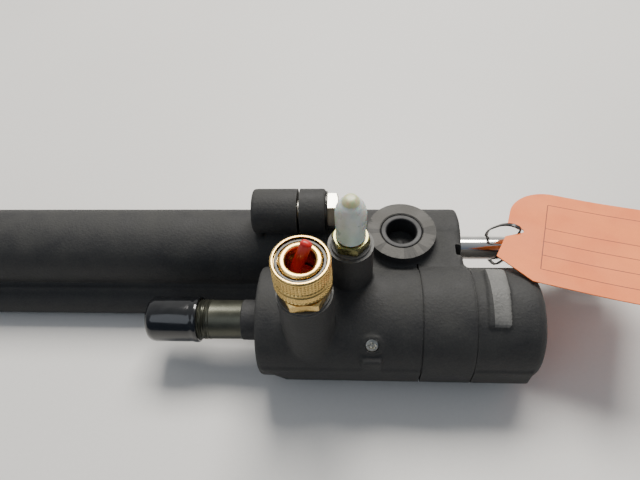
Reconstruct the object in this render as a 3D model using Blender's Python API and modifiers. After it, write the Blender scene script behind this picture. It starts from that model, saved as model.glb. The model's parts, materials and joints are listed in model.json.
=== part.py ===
"""Hydraulic steering actuator: a power cylinder bolted beside a cable-steered valve housing.

Design axes: +X runs along the cylinder towards the clevis, +Y to the cylinder side, +Z up.
All dimensions are in millimetres in the design frame, whose origin is on the cylinder's axis.
The root empty carries that frame to the world: resting plane at z = 0, box centred on x and y.
"""

import math

import bmesh
import bpy
from mathutils import Matrix, Vector

MM = 0.001
GAP = 0.3  # running and seating clearance between neighbouring solids

# Power cylinder
BARREL_R = 23.0
BORE_R = 17.5
ROD_R = 7.05
BARREL_LEFT = -252.0
BORE_LEFT = -245.0
SPLIT_X = -9.1  # joint face of the valve housing against the barrel's flange
GASKET_T = 0.8
BARREL_RIGHT = SPLIT_X - GASKET_T - 2 * GAP
GALLERY_Y, GALLERY_Z, GALLERY_R = -24.8, -19.8, 10.0
GALLERY_BORE_R = 3.5

# Flange bolts: one above the cylinder axis, one low at the rear
LUG_PITCH_R = 34.7
LUG_ANGLES = (90.0, -30.0)
LUG_R = 12.5
LUG_LEFT = -35.4
LUG_RIGHT = 4.8
BOLT_R = 6.0
BOLT_HEAD_R = 10.4
BOLT_HEAD_H = 5.8
WASHER_T = 1.0

# Cable-steered valve
VALVE_Y = -50.0
VALVE_R = 29.8
VALVE_LEFT = -30.0
VALVE_RIGHT = 117.5
TUBE_R = 11.1
TUBE_BORE_R = 8.2
CHAMBER_R = 17.0
CHAMBER_LEFT = 6.0
CHAMBER_RIGHT = 110.0
VALVE_TRAVEL = 2.0

# Cast body round the rod gland
BLOCK_RIGHT = 81.0
BLOCK_TOP = 22.0
REST_Z = -30.0
PIVOT_X, PIVOT_Y, PIVOT_R, PIVOT_FACE = 47.0, -9.1, 19.0, 29.0
PIVOT_BUSH_R, PIVOT_BORE_R, PIVOT_DEPTH = 11.3, 8.3, 12.0
GLAND_R = 14.0
GLAND_LEFT = 55.0

# Ports on top of the valve
PORT_TOP = 56.0
COUPLER_X, COUPLER_Y, COUPLER_BOSS_R = -1.9, -65.3, 13.3
COUPLER_TOP = 82.6
COUPLER_HEX_TURN = 34.0
RETURN_X, RETURN_Y, RETURN_BOSS_R = 19.1, -38.0, 11.35

# Rod end
ROD_RIGHT = 150.0
CLEVIS_LEFT = 138.0
CLEVIS_RIGHT = 178.0
CLEVIS_R = 13.6
CLEVIS_PIN_X = 166.0
CLEVIS_PIN_R = 6.4

# Shipping tag: a flat card that leans on the valve housing and is tied to the rod
TAG_TILT = math.radians(10.0)
TAG_T = 0.8
TAG_HOLE_X = 113.2
TAG_HOLE_S = 8.7
TAG_TURN = math.radians(-18.0)
TAG_LENGTH = 76.0
TAG_HALF_W = 37.0
TIE_R = 1.1

# Overall box in the design frame
BOX_LEFT = BARREL_LEFT
BOX_RIGHT = TAG_HOLE_X + TAG_LENGTH * math.cos(TAG_TURN) - TAG_HALF_W * math.sin(TAG_TURN)
BOX_FRONT = VALVE_Y - VALVE_R - 1.1
BOX_REAR = LUG_PITCH_R * math.cos(math.radians(LUG_ANGLES[1])) + LUG_R

ROUND = 24  # sides of a turned piece
TOOL_TURN = 0.37  # share of a step
AXIS_TURN = {
    "X": (0.0, math.pi / 2, 0.0),
    "Y": (-math.pi / 2, 0.0, 0.0),
    "Z": (0.0, 0.0, 0.0),
}

bodies = {}


# ---------------------------------------------------------------- scene and helpers
def clear_scene():
    for old in list(bpy.data.objects):
        bpy.data.objects.remove(old, do_unlink=True)


def collection(name):
    made = bpy.data.collections.new(name)
    bpy.context.scene.collection.children.link(made)
    return made


def body_empty(name, at, parent=None):
    """An empty on a body's joint axis; positions stay in the design frame."""
    empty = bpy.data.objects.new(name + "_axis", None)
    empty.empty_display_size = 0.01
    guides.objects.link(empty)
    base = Vector((0.0, 0.0, 0.0))
    if parent:
        empty.parent = bodies[parent][0]
        base = bodies[parent][1]
    empty.location = (Vector(at) - base) * MM
    bodies[name] = (empty, Vector(at))


def place(obj, body, at, axis="Z"):
    empty, origin = bodies[body]
    obj.parent = empty
    obj.location = (Vector(at) - origin) * MM
    obj.rotation_euler = AXIS_TURN[axis]
    return obj


def new_object(name, mesh, tool=False):
    obj = bpy.data.objects.new(name, mesh)
    if tool:
        cutters.objects.link(obj)
        obj.hide_render = True
        obj.display_type = "WIRE"
    else:
        actuator.objects.link(obj)
    return obj


def smooth(obj, angle=35.0):
    obj.data.shade_smooth()
    obj.data.set_sharp_from_angle(angle=math.radians(angle))


def revolve(name, profile, body, at=(0, 0, 0), axis="Z", closed=False, steps=ROUND, tool=False):
    """A turned solid. The profile lists (radius, height) down the outer side, top to bottom."""
    mesh = bpy.data.meshes.new(name)
    bm = bmesh.new()
    verts = [bm.verts.new((r * MM, 0.0, h * MM)) for r, h in profile]
    for a, b in zip(verts, verts[1:]):
        bm.edges.new((a, b))
    if closed:
        bm.edges.new((verts[-1], verts[0]))
    bm.to_mesh(mesh)
    bm.free()
    obj = new_object(name, mesh, tool)
    screw = obj.modifiers.new("turn", "SCREW")
    screw.axis = "Z"
    screw.angle = 2 * math.pi
    screw.steps = steps
    screw.render_steps = steps
    screw.use_merge_vertices = True
    screw.merge_threshold = 0.00001
    screw.use_smooth_shade = True
    return place(obj, body, at, axis)


def rod(name, radius, low, high, body, at, axis="Z", edge=0.0, steps=ROUND, tool=False):
    """A solid cylinder, optionally with chamfered ends."""
    # A tool's corners are turned part of a step, so that they miss those of its target.
    turn = TOOL_TURN * 2 * math.pi / steps if tool else 0.0
    obj = prism(name, radius, steps, low, high, body, at, axis, turn, tool)
    if edge:
        bm = bmesh.new()
        bm.from_mesh(obj.data)
        rims = [e for e in bm.edges if abs(e.verts[0].co.z - e.verts[1].co.z) < MM * 0.01]
        bmesh.ops.bevel(bm, geom=rims, offset=edge * MM, segments=1, affect="EDGES")
        bm.to_mesh(obj.data)
        bm.free()
    return obj


def ring(name, outer, inner, low, high, body, at, axis="Z", edge=0.0, steps=ROUND, tool=False):
    """A plain ring, optionally with its four corners chamfered."""
    if edge:
        profile = [(outer - edge, high), (outer, high - edge), (outer, low + edge),
                   (outer - edge, low), (inner + edge, low), (inner, low + edge),
                   (inner, high - edge), (inner + edge, high)]
    else:
        profile = [(outer, high), (outer, low), (inner, low), (inner, high)]
    return revolve(name, profile, body, at, axis, closed=True, steps=steps, tool=tool)


def prism(name, radius, sides, low, high, body, at, axis="Z", turn=0.0, tool=False):
    """A regular prism, such as a hexagon, between two heights along its axis."""
    mesh = bpy.data.meshes.new(name)
    bm = bmesh.new()
    bmesh.ops.create_cone(bm, cap_ends=True, segments=sides, radius1=radius * MM,
                          radius2=radius * MM, depth=(high - low) * MM)
    bmesh.ops.rotate(bm, verts=bm.verts, cent=(0, 0, 0), matrix=Matrix.Rotation(turn, 3, "Z"))
    bmesh.ops.translate(bm, verts=bm.verts, vec=(0, 0, (low + high) / 2 * MM))
    bm.to_mesh(mesh)
    bm.free()
    return place(new_object(name, mesh, tool), body, at, axis)


def box(name, low, high, body, edge=0.0, segments=2, tool=False):
    """An upright box between two corners of the design frame."""
    low, high = Vector(low), Vector(high)
    mesh = bpy.data.meshes.new(name)
    bm = bmesh.new()
    bmesh.ops.create_cube(bm, size=1.0)
    bmesh.ops.scale(bm, verts=bm.verts, vec=(high - low) * MM)
    bm.to_mesh(mesh)
    bm.free()
    obj = place(new_object(name, mesh, tool), body, (low + high) / 2)
    if edge:
        bevel(obj, edge, segments)
    return obj


def bevel(obj, width, segments=2, angle=40.0):
    mod = obj.modifiers.new("edge", "BEVEL")
    mod.width = width * MM
    mod.segments = segments
    mod.limit_method = "ANGLE"
    mod.angle_limit = math.radians(angle)
    mod.harden_normals = False


def boolean(target, tools, operation):
    for tool in tools:
        mod = target.modifiers.new(tool.name, "BOOLEAN")
        mod.operation = operation
        mod.solver = "EXACT"
        mod.object = tool


def join(target, *tools):
    boolean(target, tools, "UNION")


def cut(target, *tools):
    boolean(target, tools, "DIFFERENCE")


def sweep(name, points, radius, body, at, closed=False, resolution=2):
    """A round wire through design-frame points given relative to its place."""
    curve = bpy.data.curves.new(name, "CURVE")
    curve.dimensions = "3D"
    curve.bevel_depth = radius * MM
    curve.bevel_resolution = resolution
    curve.use_fill_caps = True
    spline = curve.splines.new("POLY")
    spline.points.add(len(points) - 1)
    for point, where in zip(spline.points, points):
        point.co = (*(Vector(where) * MM), 1.0)
    spline.use_cyclic_u = closed
    obj = bpy.data.objects.new(name, curve)
    actuator.objects.link(obj)
    return place(obj, body, at)


def coil_points(radius, low, high, turns, axis="X", steps=12):
    """Points of a helix along an axis, with the wire's ends left open."""
    points = []
    count = int(turns * steps)
    for k in range(count + 1):
        angle = 2 * math.pi * k / steps
        along = low + (high - low) * k / count
        a, b = radius * math.cos(angle), radius * math.sin(angle)
        points.append((along, a, b) if axis == "X" else (a, b, along))
    return points


def material(name, colour, roughness, metallic=0.0):
    made = bpy.data.materials.new(name)
    made.use_nodes = True
    shader = made.node_tree.nodes["Principled BSDF"]
    shader.inputs["Base Color"].default_value = (*colour, 1.0)
    shader.inputs["Roughness"].default_value = roughness
    shader.inputs["Metallic"].default_value = metallic
    made.diffuse_color = (*colour, 1.0)
    return made


def dress(obj, made):
    obj.data.materials.append(made)
    return obj


def around(angle, radius):
    """A (y, z) point at an angle from +Y towards +Z about the cylinder's axis."""
    return radius * math.cos(math.radians(angle)), radius * math.sin(math.radians(angle))


# ---------------------------------------------------------------- castings
def lug_tools(name, low, high, radius, edge=0.0):
    """Bosses, or holes, on the two flange bolt axes."""
    made = []
    for k, angle in enumerate(LUG_ANGLES):
        y, z = around(angle, LUG_PITCH_R)
        made.append(rod(f"{name}_{k}", radius, low, high, "housing", (0, y, z), "X",
                        edge=edge, steps=20, tool=True))
    return made


def lug_webs(name, low, high, reach=LUG_PITCH_R - 2.7, half=10.5):
    """Flat webs that tie the lugs to the castings' round middle."""
    made = []
    for k, angle in enumerate(LUG_ANGLES):
        web = box(f"{name}_{k}", (low, 0.0, -half), (high, reach, half), "housing", tool=True)
        # The web is drawn along +Y and swung about the cylinder's axis to its lug.
        web.location = Vector(((low + high) / 2, *around(angle, reach / 2))) * MM
        web.rotation_euler = (math.radians(angle), 0.0, 0.0)
        made.append(web)
    return made


def build_valve_housing():
    r, edge, end = VALVE_R, 2.5, 8.0
    arc = [(r - end + end * math.sin(a), VALVE_RIGHT - end + end * math.cos(a))
           for a in (math.pi / 2 * k / 3 for k in range(4))]
    profile = [(0, VALVE_RIGHT), *arc, (r, VALVE_LEFT + edge), (r - edge, VALVE_LEFT), (0, VALVE_LEFT)]
    housing = revolve("valve_housing", profile, "housing", (0, VALVE_Y, 0), "X", steps=40)
    tools = [
        # raised band round the gland end of the valve
        rod("tool_band", r + 1.1, 55.4, 81.65, "housing", (0, VALVE_Y, 0), "X", edge=0.6,
            steps=40, tool=True),
        rod("tool_block_round", BARREL_R, SPLIT_X - 4, BLOCK_RIGHT, "housing", (0, 0, 0), "X",
            edge=2.2, tool=True),
        box("tool_block", (SPLIT_X + 0.3, VALVE_Y, -21.0), (BLOCK_RIGHT - 0.6, 8.5, BLOCK_TOP + 0.4),
            "housing", edge=2.5, tool=True),
        box("tool_gallery", (SPLIT_X + 0.5, -35.5, REST_Z + 0.9), (BLOCK_RIGHT - 1.3, -14.0, -12.0),
            "housing", edge=3.0, tool=True),
        rod("tool_pivot", PIVOT_R, REST_Z, PIVOT_FACE, "housing", (PIVOT_X, PIVOT_Y, 0),
            edge=0.8, tool=True),
        rod("tool_pressure_boss", COUPLER_BOSS_R, -4.0, PORT_TOP, "housing",
            (COUPLER_X, COUPLER_Y, 0), edge=0.8, tool=True),
        rod("tool_return_boss", RETURN_BOSS_R, -6.0, PORT_TOP, "housing",
            (RETURN_X, RETURN_Y, 0), edge=0.8, tool=True),
        build_rail(),
        build_pad(),
        rod("tool_screw_boss", 5.4, -8.0, 2.2, "housing", (29.8, -71.5, 17.0), edge=0.6,
            steps=24, tool=True),
    ]
    aim_at_valve_front(tools[-1])
    tools += lug_tools("tool_housing_lug", SPLIT_X - 3, LUG_RIGHT, LUG_R, edge=0.6)
    tools += lug_webs("tool_housing_web", SPLIT_X + 0.4, LUG_RIGHT - 1.5)
    join(housing, *tools)
    cut(housing, *housing_cutters())
    return housing


def build_rail():
    """Foot rail under the valve, with its free front corner chamfered."""
    rail = box("tool_rail", (VALVE_LEFT + 0.6, -75.5, REST_Z), (112.0, -34.0, -21.0), "housing", tool=True)
    bm = bmesh.new()
    bm.from_mesh(rail.data)
    corner = [e for e in bm.edges
              if all(v.co.x < 0 and v.co.y < 0 for v in e.verts)]
    bmesh.ops.bevel(bm, geom=corner, offset=10.0 * MM, segments=1, affect="EDGES")
    bm.to_mesh(rail.data)
    bm.free()
    bevel(rail, 1.0, 1)
    return rail


def build_pad():
    """Raised marking pad that follows the valve's round top near its end."""
    pad = ring("tool_pad", VALVE_R + 1.6, VALVE_R - 2.0, -5.2, 5.2, "housing",
               (95.8, VALVE_Y, 0), "X", edge=0.5, steps=40, tool=True)
    window = box("tool_pad_window", (84.0, -66.5, 20.0), (108.0, -32.0, 40.0), "housing", tool=True)
    boolean(pad, [window], "INTERSECT")
    pad.rotation_euler = (0.0, math.pi / 2, math.radians(-3.0))
    return pad


def aim_at_valve_front(obj):
    """Turn a Z-aligned piece to point straight out of the valve's upper front."""
    obj.rotation_euler = (math.radians(52.0), 0.0, 0.0)


def housing_cutters():
    valve = (0, VALVE_Y, 0)
    tools = [
        # the barrel and its flange nest against the valve's free end
        rod("cut_barrel_nest", 29.0, VALVE_LEFT - 8, SPLIT_X, "housing", (0, 0, 0), "X", tool=True),
        rod("cut_gallery_nest", GALLERY_R + 0.8, VALVE_LEFT - 8, SPLIT_X - 0.1, "housing",
            (0, GALLERY_Y, GALLERY_Z), "X", tool=True),
        # hollow between the block's end and the valve
        box("cut_notch", (76.5, -20.8, 9.0), (90.0, -13.6, 30.0), "housing", tool=True),
        rod("cut_tube_bore", TUBE_R + GAP, VALVE_LEFT - 5, CHAMBER_LEFT + 5, "housing", valve, "X",
            tool=True),
        rod("cut_tube_seal", TUBE_R + 3.2, -20.0, -14.0, "housing", valve, "X", tool=True),
        rod("cut_chamber", CHAMBER_R, CHAMBER_LEFT, VALVE_RIGHT + 5, "housing", valve, "X", tool=True),
        rod("cut_end_groove", CHAMBER_R + 1.2, 112.6, 114.2, "housing", valve, "X", tool=True),
        rod("cut_rod_bore", ROD_R + 0.9, SPLIT_X - 5, GLAND_LEFT + 5, "housing", (0, 0, 0), "X",
            tool=True),
        rod("cut_gland", GLAND_R + GAP, GLAND_LEFT, BLOCK_RIGHT + 5, "housing", (0, 0, 0), "X",
            tool=True),
        rod("cut_gland_groove", GLAND_R + 1.5, 77.0, 78.4, "housing", (0, 0, 0), "X", tool=True),
        rod("cut_gallery", GALLERY_BORE_R, SPLIT_X - 5, 40.0, "housing", (0, GALLERY_Y, GALLERY_Z),
            "X", steps=24, tool=True),
        rod("cut_pressure_port", 6.5, -4.0, PORT_TOP + 5, "housing", coupler_at(), steps=20,
            tool=True),
        rod("cut_return_port", 5.2, 8.0, PORT_TOP + 5, "housing", (RETURN_X, RETURN_Y, 0),
            steps=20, tool=True),
        rod("cut_pivot_top", PIVOT_BUSH_R + GAP, PIVOT_FACE - PIVOT_DEPTH, PIVOT_FACE + 5, "housing",
            (PIVOT_X, PIVOT_Y, 0), tool=True),
        rod("cut_pivot_bottom", PIVOT_BUSH_R + GAP, REST_Z - 5, REST_Z + PIVOT_DEPTH,
            "housing", (PIVOT_X, PIVOT_Y, 0), tool=True),
        rod("cut_locating_screw", 3.6, -9.0, 5.0, "housing", (29.8, -71.5, 17.0), steps=24, tool=True),
    ]
    aim_at_valve_front(tools[-1])
    tools += lug_tools("cut_lug_face", SPLIT_X - 8, SPLIT_X - 0.05, LUG_R + 1)
    tools += lug_tools("cut_housing_bolt", SPLIT_X - 5, LUG_RIGHT + 5, BOLT_R + GAP)
    return tools


def build_cylinder_barrel():
    edge = 5.0
    arc = [(BARREL_R - edge + edge * math.cos(a), BARREL_LEFT + edge - edge * math.sin(a))
           for a in (math.pi / 2 * k / 4 for k in range(5))]
    profile = [(0, BARREL_RIGHT + 5), (27.5, BARREL_RIGHT + 5), (27.5, -17.5), (26.5, -18.5),
               (BARREL_R, -18.5), *arc, (0, BARREL_LEFT)]
    barrel = revolve("cylinder_barrel", profile, "housing", (0, 0, 0), "X", steps=32)
    tools = lug_tools("tool_barrel_lug", LUG_LEFT, BARREL_RIGHT + 4, LUG_R, edge=0.8)
    tools += lug_webs("tool_barrel_web", -18.2, BARREL_RIGHT + 2)
    tools += lug_webs("tool_barrel_web_far", LUG_LEFT + 0.4, -31.0, half=9.5)
    tools += [
        rod("tool_barrel_gallery", GALLERY_R, BARREL_LEFT + 6, BARREL_RIGHT + 3, "housing",
            (0, GALLERY_Y, GALLERY_Z), "X", edge=1.0, steps=20, tool=True),
        box("tool_gallery_web", (BARREL_LEFT + 9, -26.0, -22.0), (BARREL_RIGHT + 1, -2.0, -8.0),
            "housing", tool=True),
    ]
    join(barrel, *tools)
    cut(barrel,
        box("cut_barrel_face", (BARREL_RIGHT, -60, -60), (BARREL_RIGHT + 20, 60, 70), "housing", tool=True),
        rod("cut_barrel_bore", BORE_R, BORE_LEFT, BARREL_RIGHT + 5, "housing", (0, 0, 0), "X", tool=True),
        rod("cut_barrel_gallery", GALLERY_BORE_R, BARREL_LEFT - 5, BARREL_RIGHT + 5, "housing",
            (0, GALLERY_Y, GALLERY_Z), "X", steps=24, tool=True),
        rod("cut_plug_seat", 5.6, BARREL_LEFT - 6, BARREL_LEFT + 18, "housing",
            (0, GALLERY_Y, GALLERY_Z), "X", steps=24, tool=True),
        rod("cut_barrel_inlet", 2.6, -22.0, -4.0, "housing", (BORE_LEFT + 22, -14.0, 0.0),
            steps=16, tool=True),
        *lug_tools("cut_barrel_bolt", LUG_LEFT - 5, BARREL_RIGHT + 5, BOLT_R + GAP))
    return barrel


# ---------------------------------------------------------------- fixed pieces
def build_flange_gasket():
    low, high = SPLIT_X - GASKET_T - GAP, SPLIT_X - GAP
    step = 0.05
    gasket = ring("flange_gasket", 26.5, BORE_R, low, high, "housing", (0, 0, 0), "X")
    join(gasket, rod("tool_gasket_gallery", 8.5, low + step, high - step, "housing",
                     (0, GALLERY_Y, GALLERY_Z), "X", steps=24, tool=True))
    cut(gasket, rod("cut_gasket_gallery", GALLERY_BORE_R, low - 2, high + 2, "housing",
                    (0, GALLERY_Y, GALLERY_Z), "X", steps=24, tool=True))
    return gasket


def lug_place(index):
    y, z = around(LUG_ANGLES[index], LUG_PITCH_R)
    return 0, y, z


def build_flange_bolt(name, index):
    """A hexagon bolt through the housing's lug into the barrel's."""
    at = lug_place(index)
    low = LUG_RIGHT + GAP + WASHER_T + GAP
    shank = rod(name, BOLT_R, LUG_LEFT + 3, low + 1.0, "housing", at, "X", edge=0.8, steps=24)
    head = prism(f"tool_{name}_head", BOLT_HEAD_R, 6, low, low + BOLT_HEAD_H + 2, "housing", at,
                 "X", turn=math.radians(30), tool=True)
    crown = rod(f"tool_{name}_crown", BOLT_HEAD_R - 0.2, low - 5, low + BOLT_HEAD_H - 1.3, "housing",
                at, "X", edge=1.2, tool=True)
    boolean(head, [crown], "INTERSECT")
    join(shank, head)
    return shank


def build_flange_washer(name, index):
    return ring(name, 11.2, BOLT_R + GAP, LUG_RIGHT + GAP, LUG_RIGHT + GAP + WASHER_T,
                "housing", lug_place(index), "X", steps=24)


def build_gallery_plug():
    plug = rod("gallery_plug", 5.3, BARREL_LEFT + 6.5, BARREL_LEFT + 17, "housing",
               (0, GALLERY_Y, GALLERY_Z), "X", edge=0.5, steps=20)
    cut(plug, prism("cut_plug_hex", 2.9, 6, BARREL_LEFT, BARREL_LEFT + 11, "housing",
                    (0, GALLERY_Y, GALLERY_Z), "X", tool=True))
    return plug


def build_pivot_bushing(name, low, high):
    return ring(name, PIVOT_BUSH_R, PIVOT_BORE_R, low, high, "housing",
                (PIVOT_X, PIVOT_Y, 0))


def build_rod_gland():
    """Bronze-lined nose that guides the rod, with seats for its seal and wiper."""
    bore, out = ROD_R + GAP, GLAND_R
    profile = [(out - 0.8, 76.6), (out, 75.8), (out, 64.0), (out - 1.6, 64.0), (out - 1.6, 61.0),
               (out, 61.0), (out, GLAND_LEFT + 0.8), (out - 0.8, GLAND_LEFT + GAP),
               (bore, GLAND_LEFT + GAP), (bore, 60.0), (bore + 3.2, 60.0), (bore + 3.2, 65.0),
               (bore, 65.0), (bore, 71.5), (bore + 3.2, 71.5), (bore + 3.2, 76.6)]
    return revolve("rod_gland", profile, "housing", (0, 0, 0), "X", closed=True, steps=24)


def build_rod_seal():
    inner, outer = ROD_R + GAP, ROD_R + 3.2
    profile = [(outer, 64.6), (outer, 60.4), (inner, 60.4), (inner, 64.6), (inner + 1.0, 64.6),
               (inner + 1.3, 62.6), (inner + 1.6, 64.6)]
    return revolve("rod_seal", profile, "housing", (0, 0, 0), "X", closed=True, steps=24)


def build_rod_wiper():
    inner, outer = ROD_R + GAP, ROD_R + 3.2
    profile = [(inner + 0.9, 78.6), (outer - 0.7, 76.4), (outer, 76.2), (outer, 71.9),
               (inner, 71.9), (inner, 78.6)]
    return revolve("rod_wiper", profile, "housing", (0, 0, 0), "X", closed=True, steps=24)


def snap_ring(name, outer, inner, low, high, at, gap_half):
    """A spring ring with its gap at the bottom."""
    made = ring(name, outer, inner, low, high, "housing", at, "X", steps=36)
    x, y, z = at
    cut(made, box("cut_" + name, (low - 1, y - gap_half, z - outer - 2),
                  (high + 1, y + gap_half, z - inner + 3), "housing", tool=True))
    return made


def build_tube_seal():
    return ring("tube_seal", TUBE_R + 2.9, TUBE_R + GAP, -19.6, -14.4, "housing",
                (0, VALVE_Y, 0), "X", steps=24)


def build_valve_sleeve():
    """Ported sleeve pressed in the valve chamber, with two feed grooves."""
    out, bore = CHAMBER_R - GAP, 12.4
    profile = [(out, 84.0), (out, 72.0), (out - 2.0, 71.0), (out - 2.0, 66.0), (out, 65.0),
               (out, 55.0), (out - 2.0, 54.0), (out - 2.0, 49.0), (out, 48.0), (out, 36.0),
               (bore, 36.0), (bore, 84.0)]
    sleeve = revolve("valve_sleeve", profile, "housing", (0, VALVE_Y, 0), "X", closed=True)
    for k, x in enumerate((51.5, 68.5)):
        cut(sleeve, rod(f"cut_sleeve_port_{k}", 2.0, -20, 20, "housing", (x, VALVE_Y, 0), "Z",
                        steps=16, tool=True))
    return sleeve


def build_centering_spring(name, low, high):
    points = coil_points(14.4, low, high, 3)
    return sweep(name, points, 1.1, "housing", (0, VALVE_Y, 0), resolution=1)


def build_housing_end_cap():
    at = (0, VALVE_Y, 0)
    out = CHAMBER_R - GAP
    profile = [(0, 112.2), (6.5, 112.2), (7.0, 111.7), (7.0, 110.6), (out - 1.0, 110.6), (out, 109.6),
               (out, 106.5), (out - 2.4, 106.5), (out - 2.4, 103.0), (out, 103.0), (out, 100.0),
               (14.0, 100.0), (14.0, 104.0), (0, 104.0)]
    cap = revolve("housing_end_cap", profile, "housing", at, "X")
    cut(cap, prism("cut_end_cap_hex", 4.0, 6, 108.5, 115.0, "housing", at, "X", tool=True))
    return cap


def build_locating_screw():
    """Security screw that keys the valve sleeve, with a star socket round a pin."""
    at = (29.8, -71.5, 17.0)
    screw = rod("locating_screw", 3.3, -8.5, 1.6, "housing", at, edge=0.4, steps=24)
    socket = ring("cut_star_socket", 1.9, 0.6, -0.2, 4.0, "housing", at, steps=24, tool=True)
    aim_at_valve_front(screw)
    aim_at_valve_front(socket)
    cut(screw, socket)
    return screw


# ---------------------------------------------------------------- pressure coupler
def coupler_at():
    return (COUPLER_X, COUPLER_Y, 0)


def build_coupler_body():
    """Hexagon base, threaded tail in the port and a stepped socket for the plug."""
    at = coupler_at()
    base, top = PORT_TOP + 1.6, COUPLER_TOP
    bore = 6.5
    profile = [(9.2, top), (9.6, top - 0.4), (9.6, base + 9.6), (11.0, base + 9.6), (11.0, base + 0.4),
               (6.1, base + 0.4), (6.1, PORT_TOP - 12.0), (4.2, PORT_TOP - 12.0),
               (4.2, base + 3.0), (bore, base + 5.0), (bore, top)]
    body = revolve("coupler_body", profile, "housing", at, closed=True, steps=24)
    wrench = prism("tool_coupler_hex", 13.0, 6, base, base + 5.2, "housing", at,
                   turn=math.radians(COUPLER_HEX_TURN), tool=True)
    crown = rod("tool_coupler_crown", 12.8, base - 0.1, base + 5.3, "housing", at, edge=0.9, tool=True)
    boolean(wrench, [crown], "INTERSECT")
    cut(wrench, rod("cut_wrench_bore", 8.6, base - 3, base + 12, "housing", at, tool=True))
    join(body, wrench)
    for k in range(6):
        angle = math.radians(60 * k + 15)
        ball_hole = rod(f"cut_ball_hole_{k}", 1.7, 5.0, 12.0, "housing",
                        (COUPLER_X, COUPLER_Y, top - 5.2), "X", steps=10, tool=True)
        ball_hole.rotation_euler = (0.0, math.pi / 2, angle)
        cut(body, ball_hole)
    return body


def build_locking_ball(name, index):
    angle = math.radians(60 * index + 15)
    mesh = bpy.data.meshes.new(name)
    bm = bmesh.new()
    bmesh.ops.create_uvsphere(bm, u_segments=8, v_segments=6, radius=1.35 * MM)
    bm.to_mesh(mesh)
    bm.free()
    at = (COUPLER_X + 8.25 * math.cos(angle), COUPLER_Y + 8.25 * math.sin(angle), COUPLER_TOP - 5.2)
    return place(new_object(name, mesh), "housing", at)


def build_coupler_poppet():
    """Check valve in the coupler's throat, held up by its spring."""
    top = PORT_TOP + 4.2
    profile = [(0, top + 3.2), (1.3, top + 3.2), (1.3, top + 1.4), (3.3, top - 0.6), (3.3, top - 2.2),
               (1.0, top - 2.2), (1.0, top - 10.0), (0, top - 10.0)]
    return revolve("coupler_poppet", profile, "coupler_poppet", coupler_at(), steps=24)


def build_poppet_spring():
    points = coil_points(2.6, PORT_TOP - 8.5, PORT_TOP + 0.9, 4, axis="Z", steps=12)
    return sweep("poppet_spring", points, 0.45, "coupler_poppet", coupler_at(), resolution=1)


def build_coupler_sleeve():
    """Knurled collar that slides down to let go of the plug."""
    top, base, step = COUPLER_TOP + 0.1, PORT_TOP + 10.2, PORT_TOP + 20.8
    profile = [(12.6, top), (13.1, top - 0.6), (13.1, top - 9.2), (12.4, top - 9.8), (12.4, top - 10.8),
               (13.1, top - 11.4), (13.1, base + 0.8), (12.5, base), (11.2, base), (11.2, step),
               (9.9, step), (9.9, top - 2.4), (11.45, top - 2.0), (11.45, top)]
    return revolve("coupler_sleeve", profile, "coupler_sleeve", coupler_at(), closed=True, steps=24)


def build_sleeve_spring():
    low, high = PORT_TOP + 12.0, PORT_TOP + 20.1
    return sweep("sleeve_spring", coil_points(10.35, low, high, 3, axis="Z"), 0.45,
                 "coupler_sleeve", coupler_at(), resolution=1)


def build_sleeve_stop_ring():
    return ring("sleeve_stop_ring", 11.1, 9.9, COUPLER_TOP - 1.7, COUPLER_TOP - 0.9, "housing",
                coupler_at(), steps=24)


def build_port_washer(name, inner, outer, at):
    return ring(name, outer, inner, PORT_TOP + GAP, PORT_TOP + GAP + 1.0, "housing", at)


def build_red_plug():
    """Soft plug in the coupler, with a slanted pull tab."""
    at = coupler_at()
    low, rim = PORT_TOP + 8.0, COUPLER_TOP - 3.5
    profile = [(0, rim), (5.4, rim), (6.1, rim - 1.0), (6.1, low + 2.0), (4.9, low), (0, low)]
    plug = revolve("red_plug", profile, "red_plug", at, steps=20)
    tab = box("tool_plug_tab", (-2.2, -1.6, -3.0), (2.2, 1.6, 15.5), "red_plug", edge=1.4,
              segments=3, tool=True)
    place(tab, "red_plug", (COUPLER_X + 0.6, COUPLER_Y + 1.0, rim + 4.6))
    tab.rotation_euler = (math.radians(-12.0), math.radians(16.0), math.radians(-20.0))
    join(plug, tab)
    return plug


# ---------------------------------------------------------------- return port
def build_return_fitting():
    at = (RETURN_X, RETURN_Y, 0)
    base = PORT_TOP + 1.6
    profile = [(6.4, base + 7.0), (6.4, base + 4.6), (7.9, base + 4.6), (7.9, base), (4.9, base),
               (4.9, PORT_TOP - 12.0), (3.0, PORT_TOP - 12.0), (3.0, base + 7.0)]
    fitting = revolve("return_fitting", profile, "housing", at, closed=True, steps=20)
    wrench = prism("tool_return_hex", 9.4, 6, base + 0.2, base + 5.0, "housing", at,
                   turn=math.radians(20), tool=True)
    cut(wrench, rod("cut_return_hex", 6.2, base - 3, base + 12, "housing", at, steps=20, tool=True))
    join(fitting, wrench)
    return fitting


def build_white_cap():
    """Bullet-shaped soft cap pushed over the fitting's nose."""
    at = (RETURN_X, RETURN_Y, 0)
    low = PORT_TOP + 7.2
    profile = [(0, 90.4), (2.2, 90.0), (3.6, 88.8), (4.2, 87.2), (5.6, 85.6), (6.7, 83.4), (7.3, 80.6),
               (7.4, 77.0), (7.0, low + 1.2), (7.2, low), (6.6, low), (6.6, 76.6), (6.3, 80.0),
               (5.4, 82.8), (3.6, 85.2), (0, 86.6)]
    return revolve("white_cap", profile, "white_cap", at, steps=24)


# ---------------------------------------------------------------- rod and piston
def build_piston_rod():
    profile = [(0, ROD_RIGHT), (5.2, ROD_RIGHT), (6.0, ROD_RIGHT - 0.8), (6.0, 127.0), (ROD_R, 126.0),
               (ROD_R, -223.0), (5.0, -223.4), (5.0, -240.4), (4.4, -241.0), (0, -241.0)]
    return revolve("piston_rod", profile, "rod", (0, 0, 0), "X", steps=20)


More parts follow.
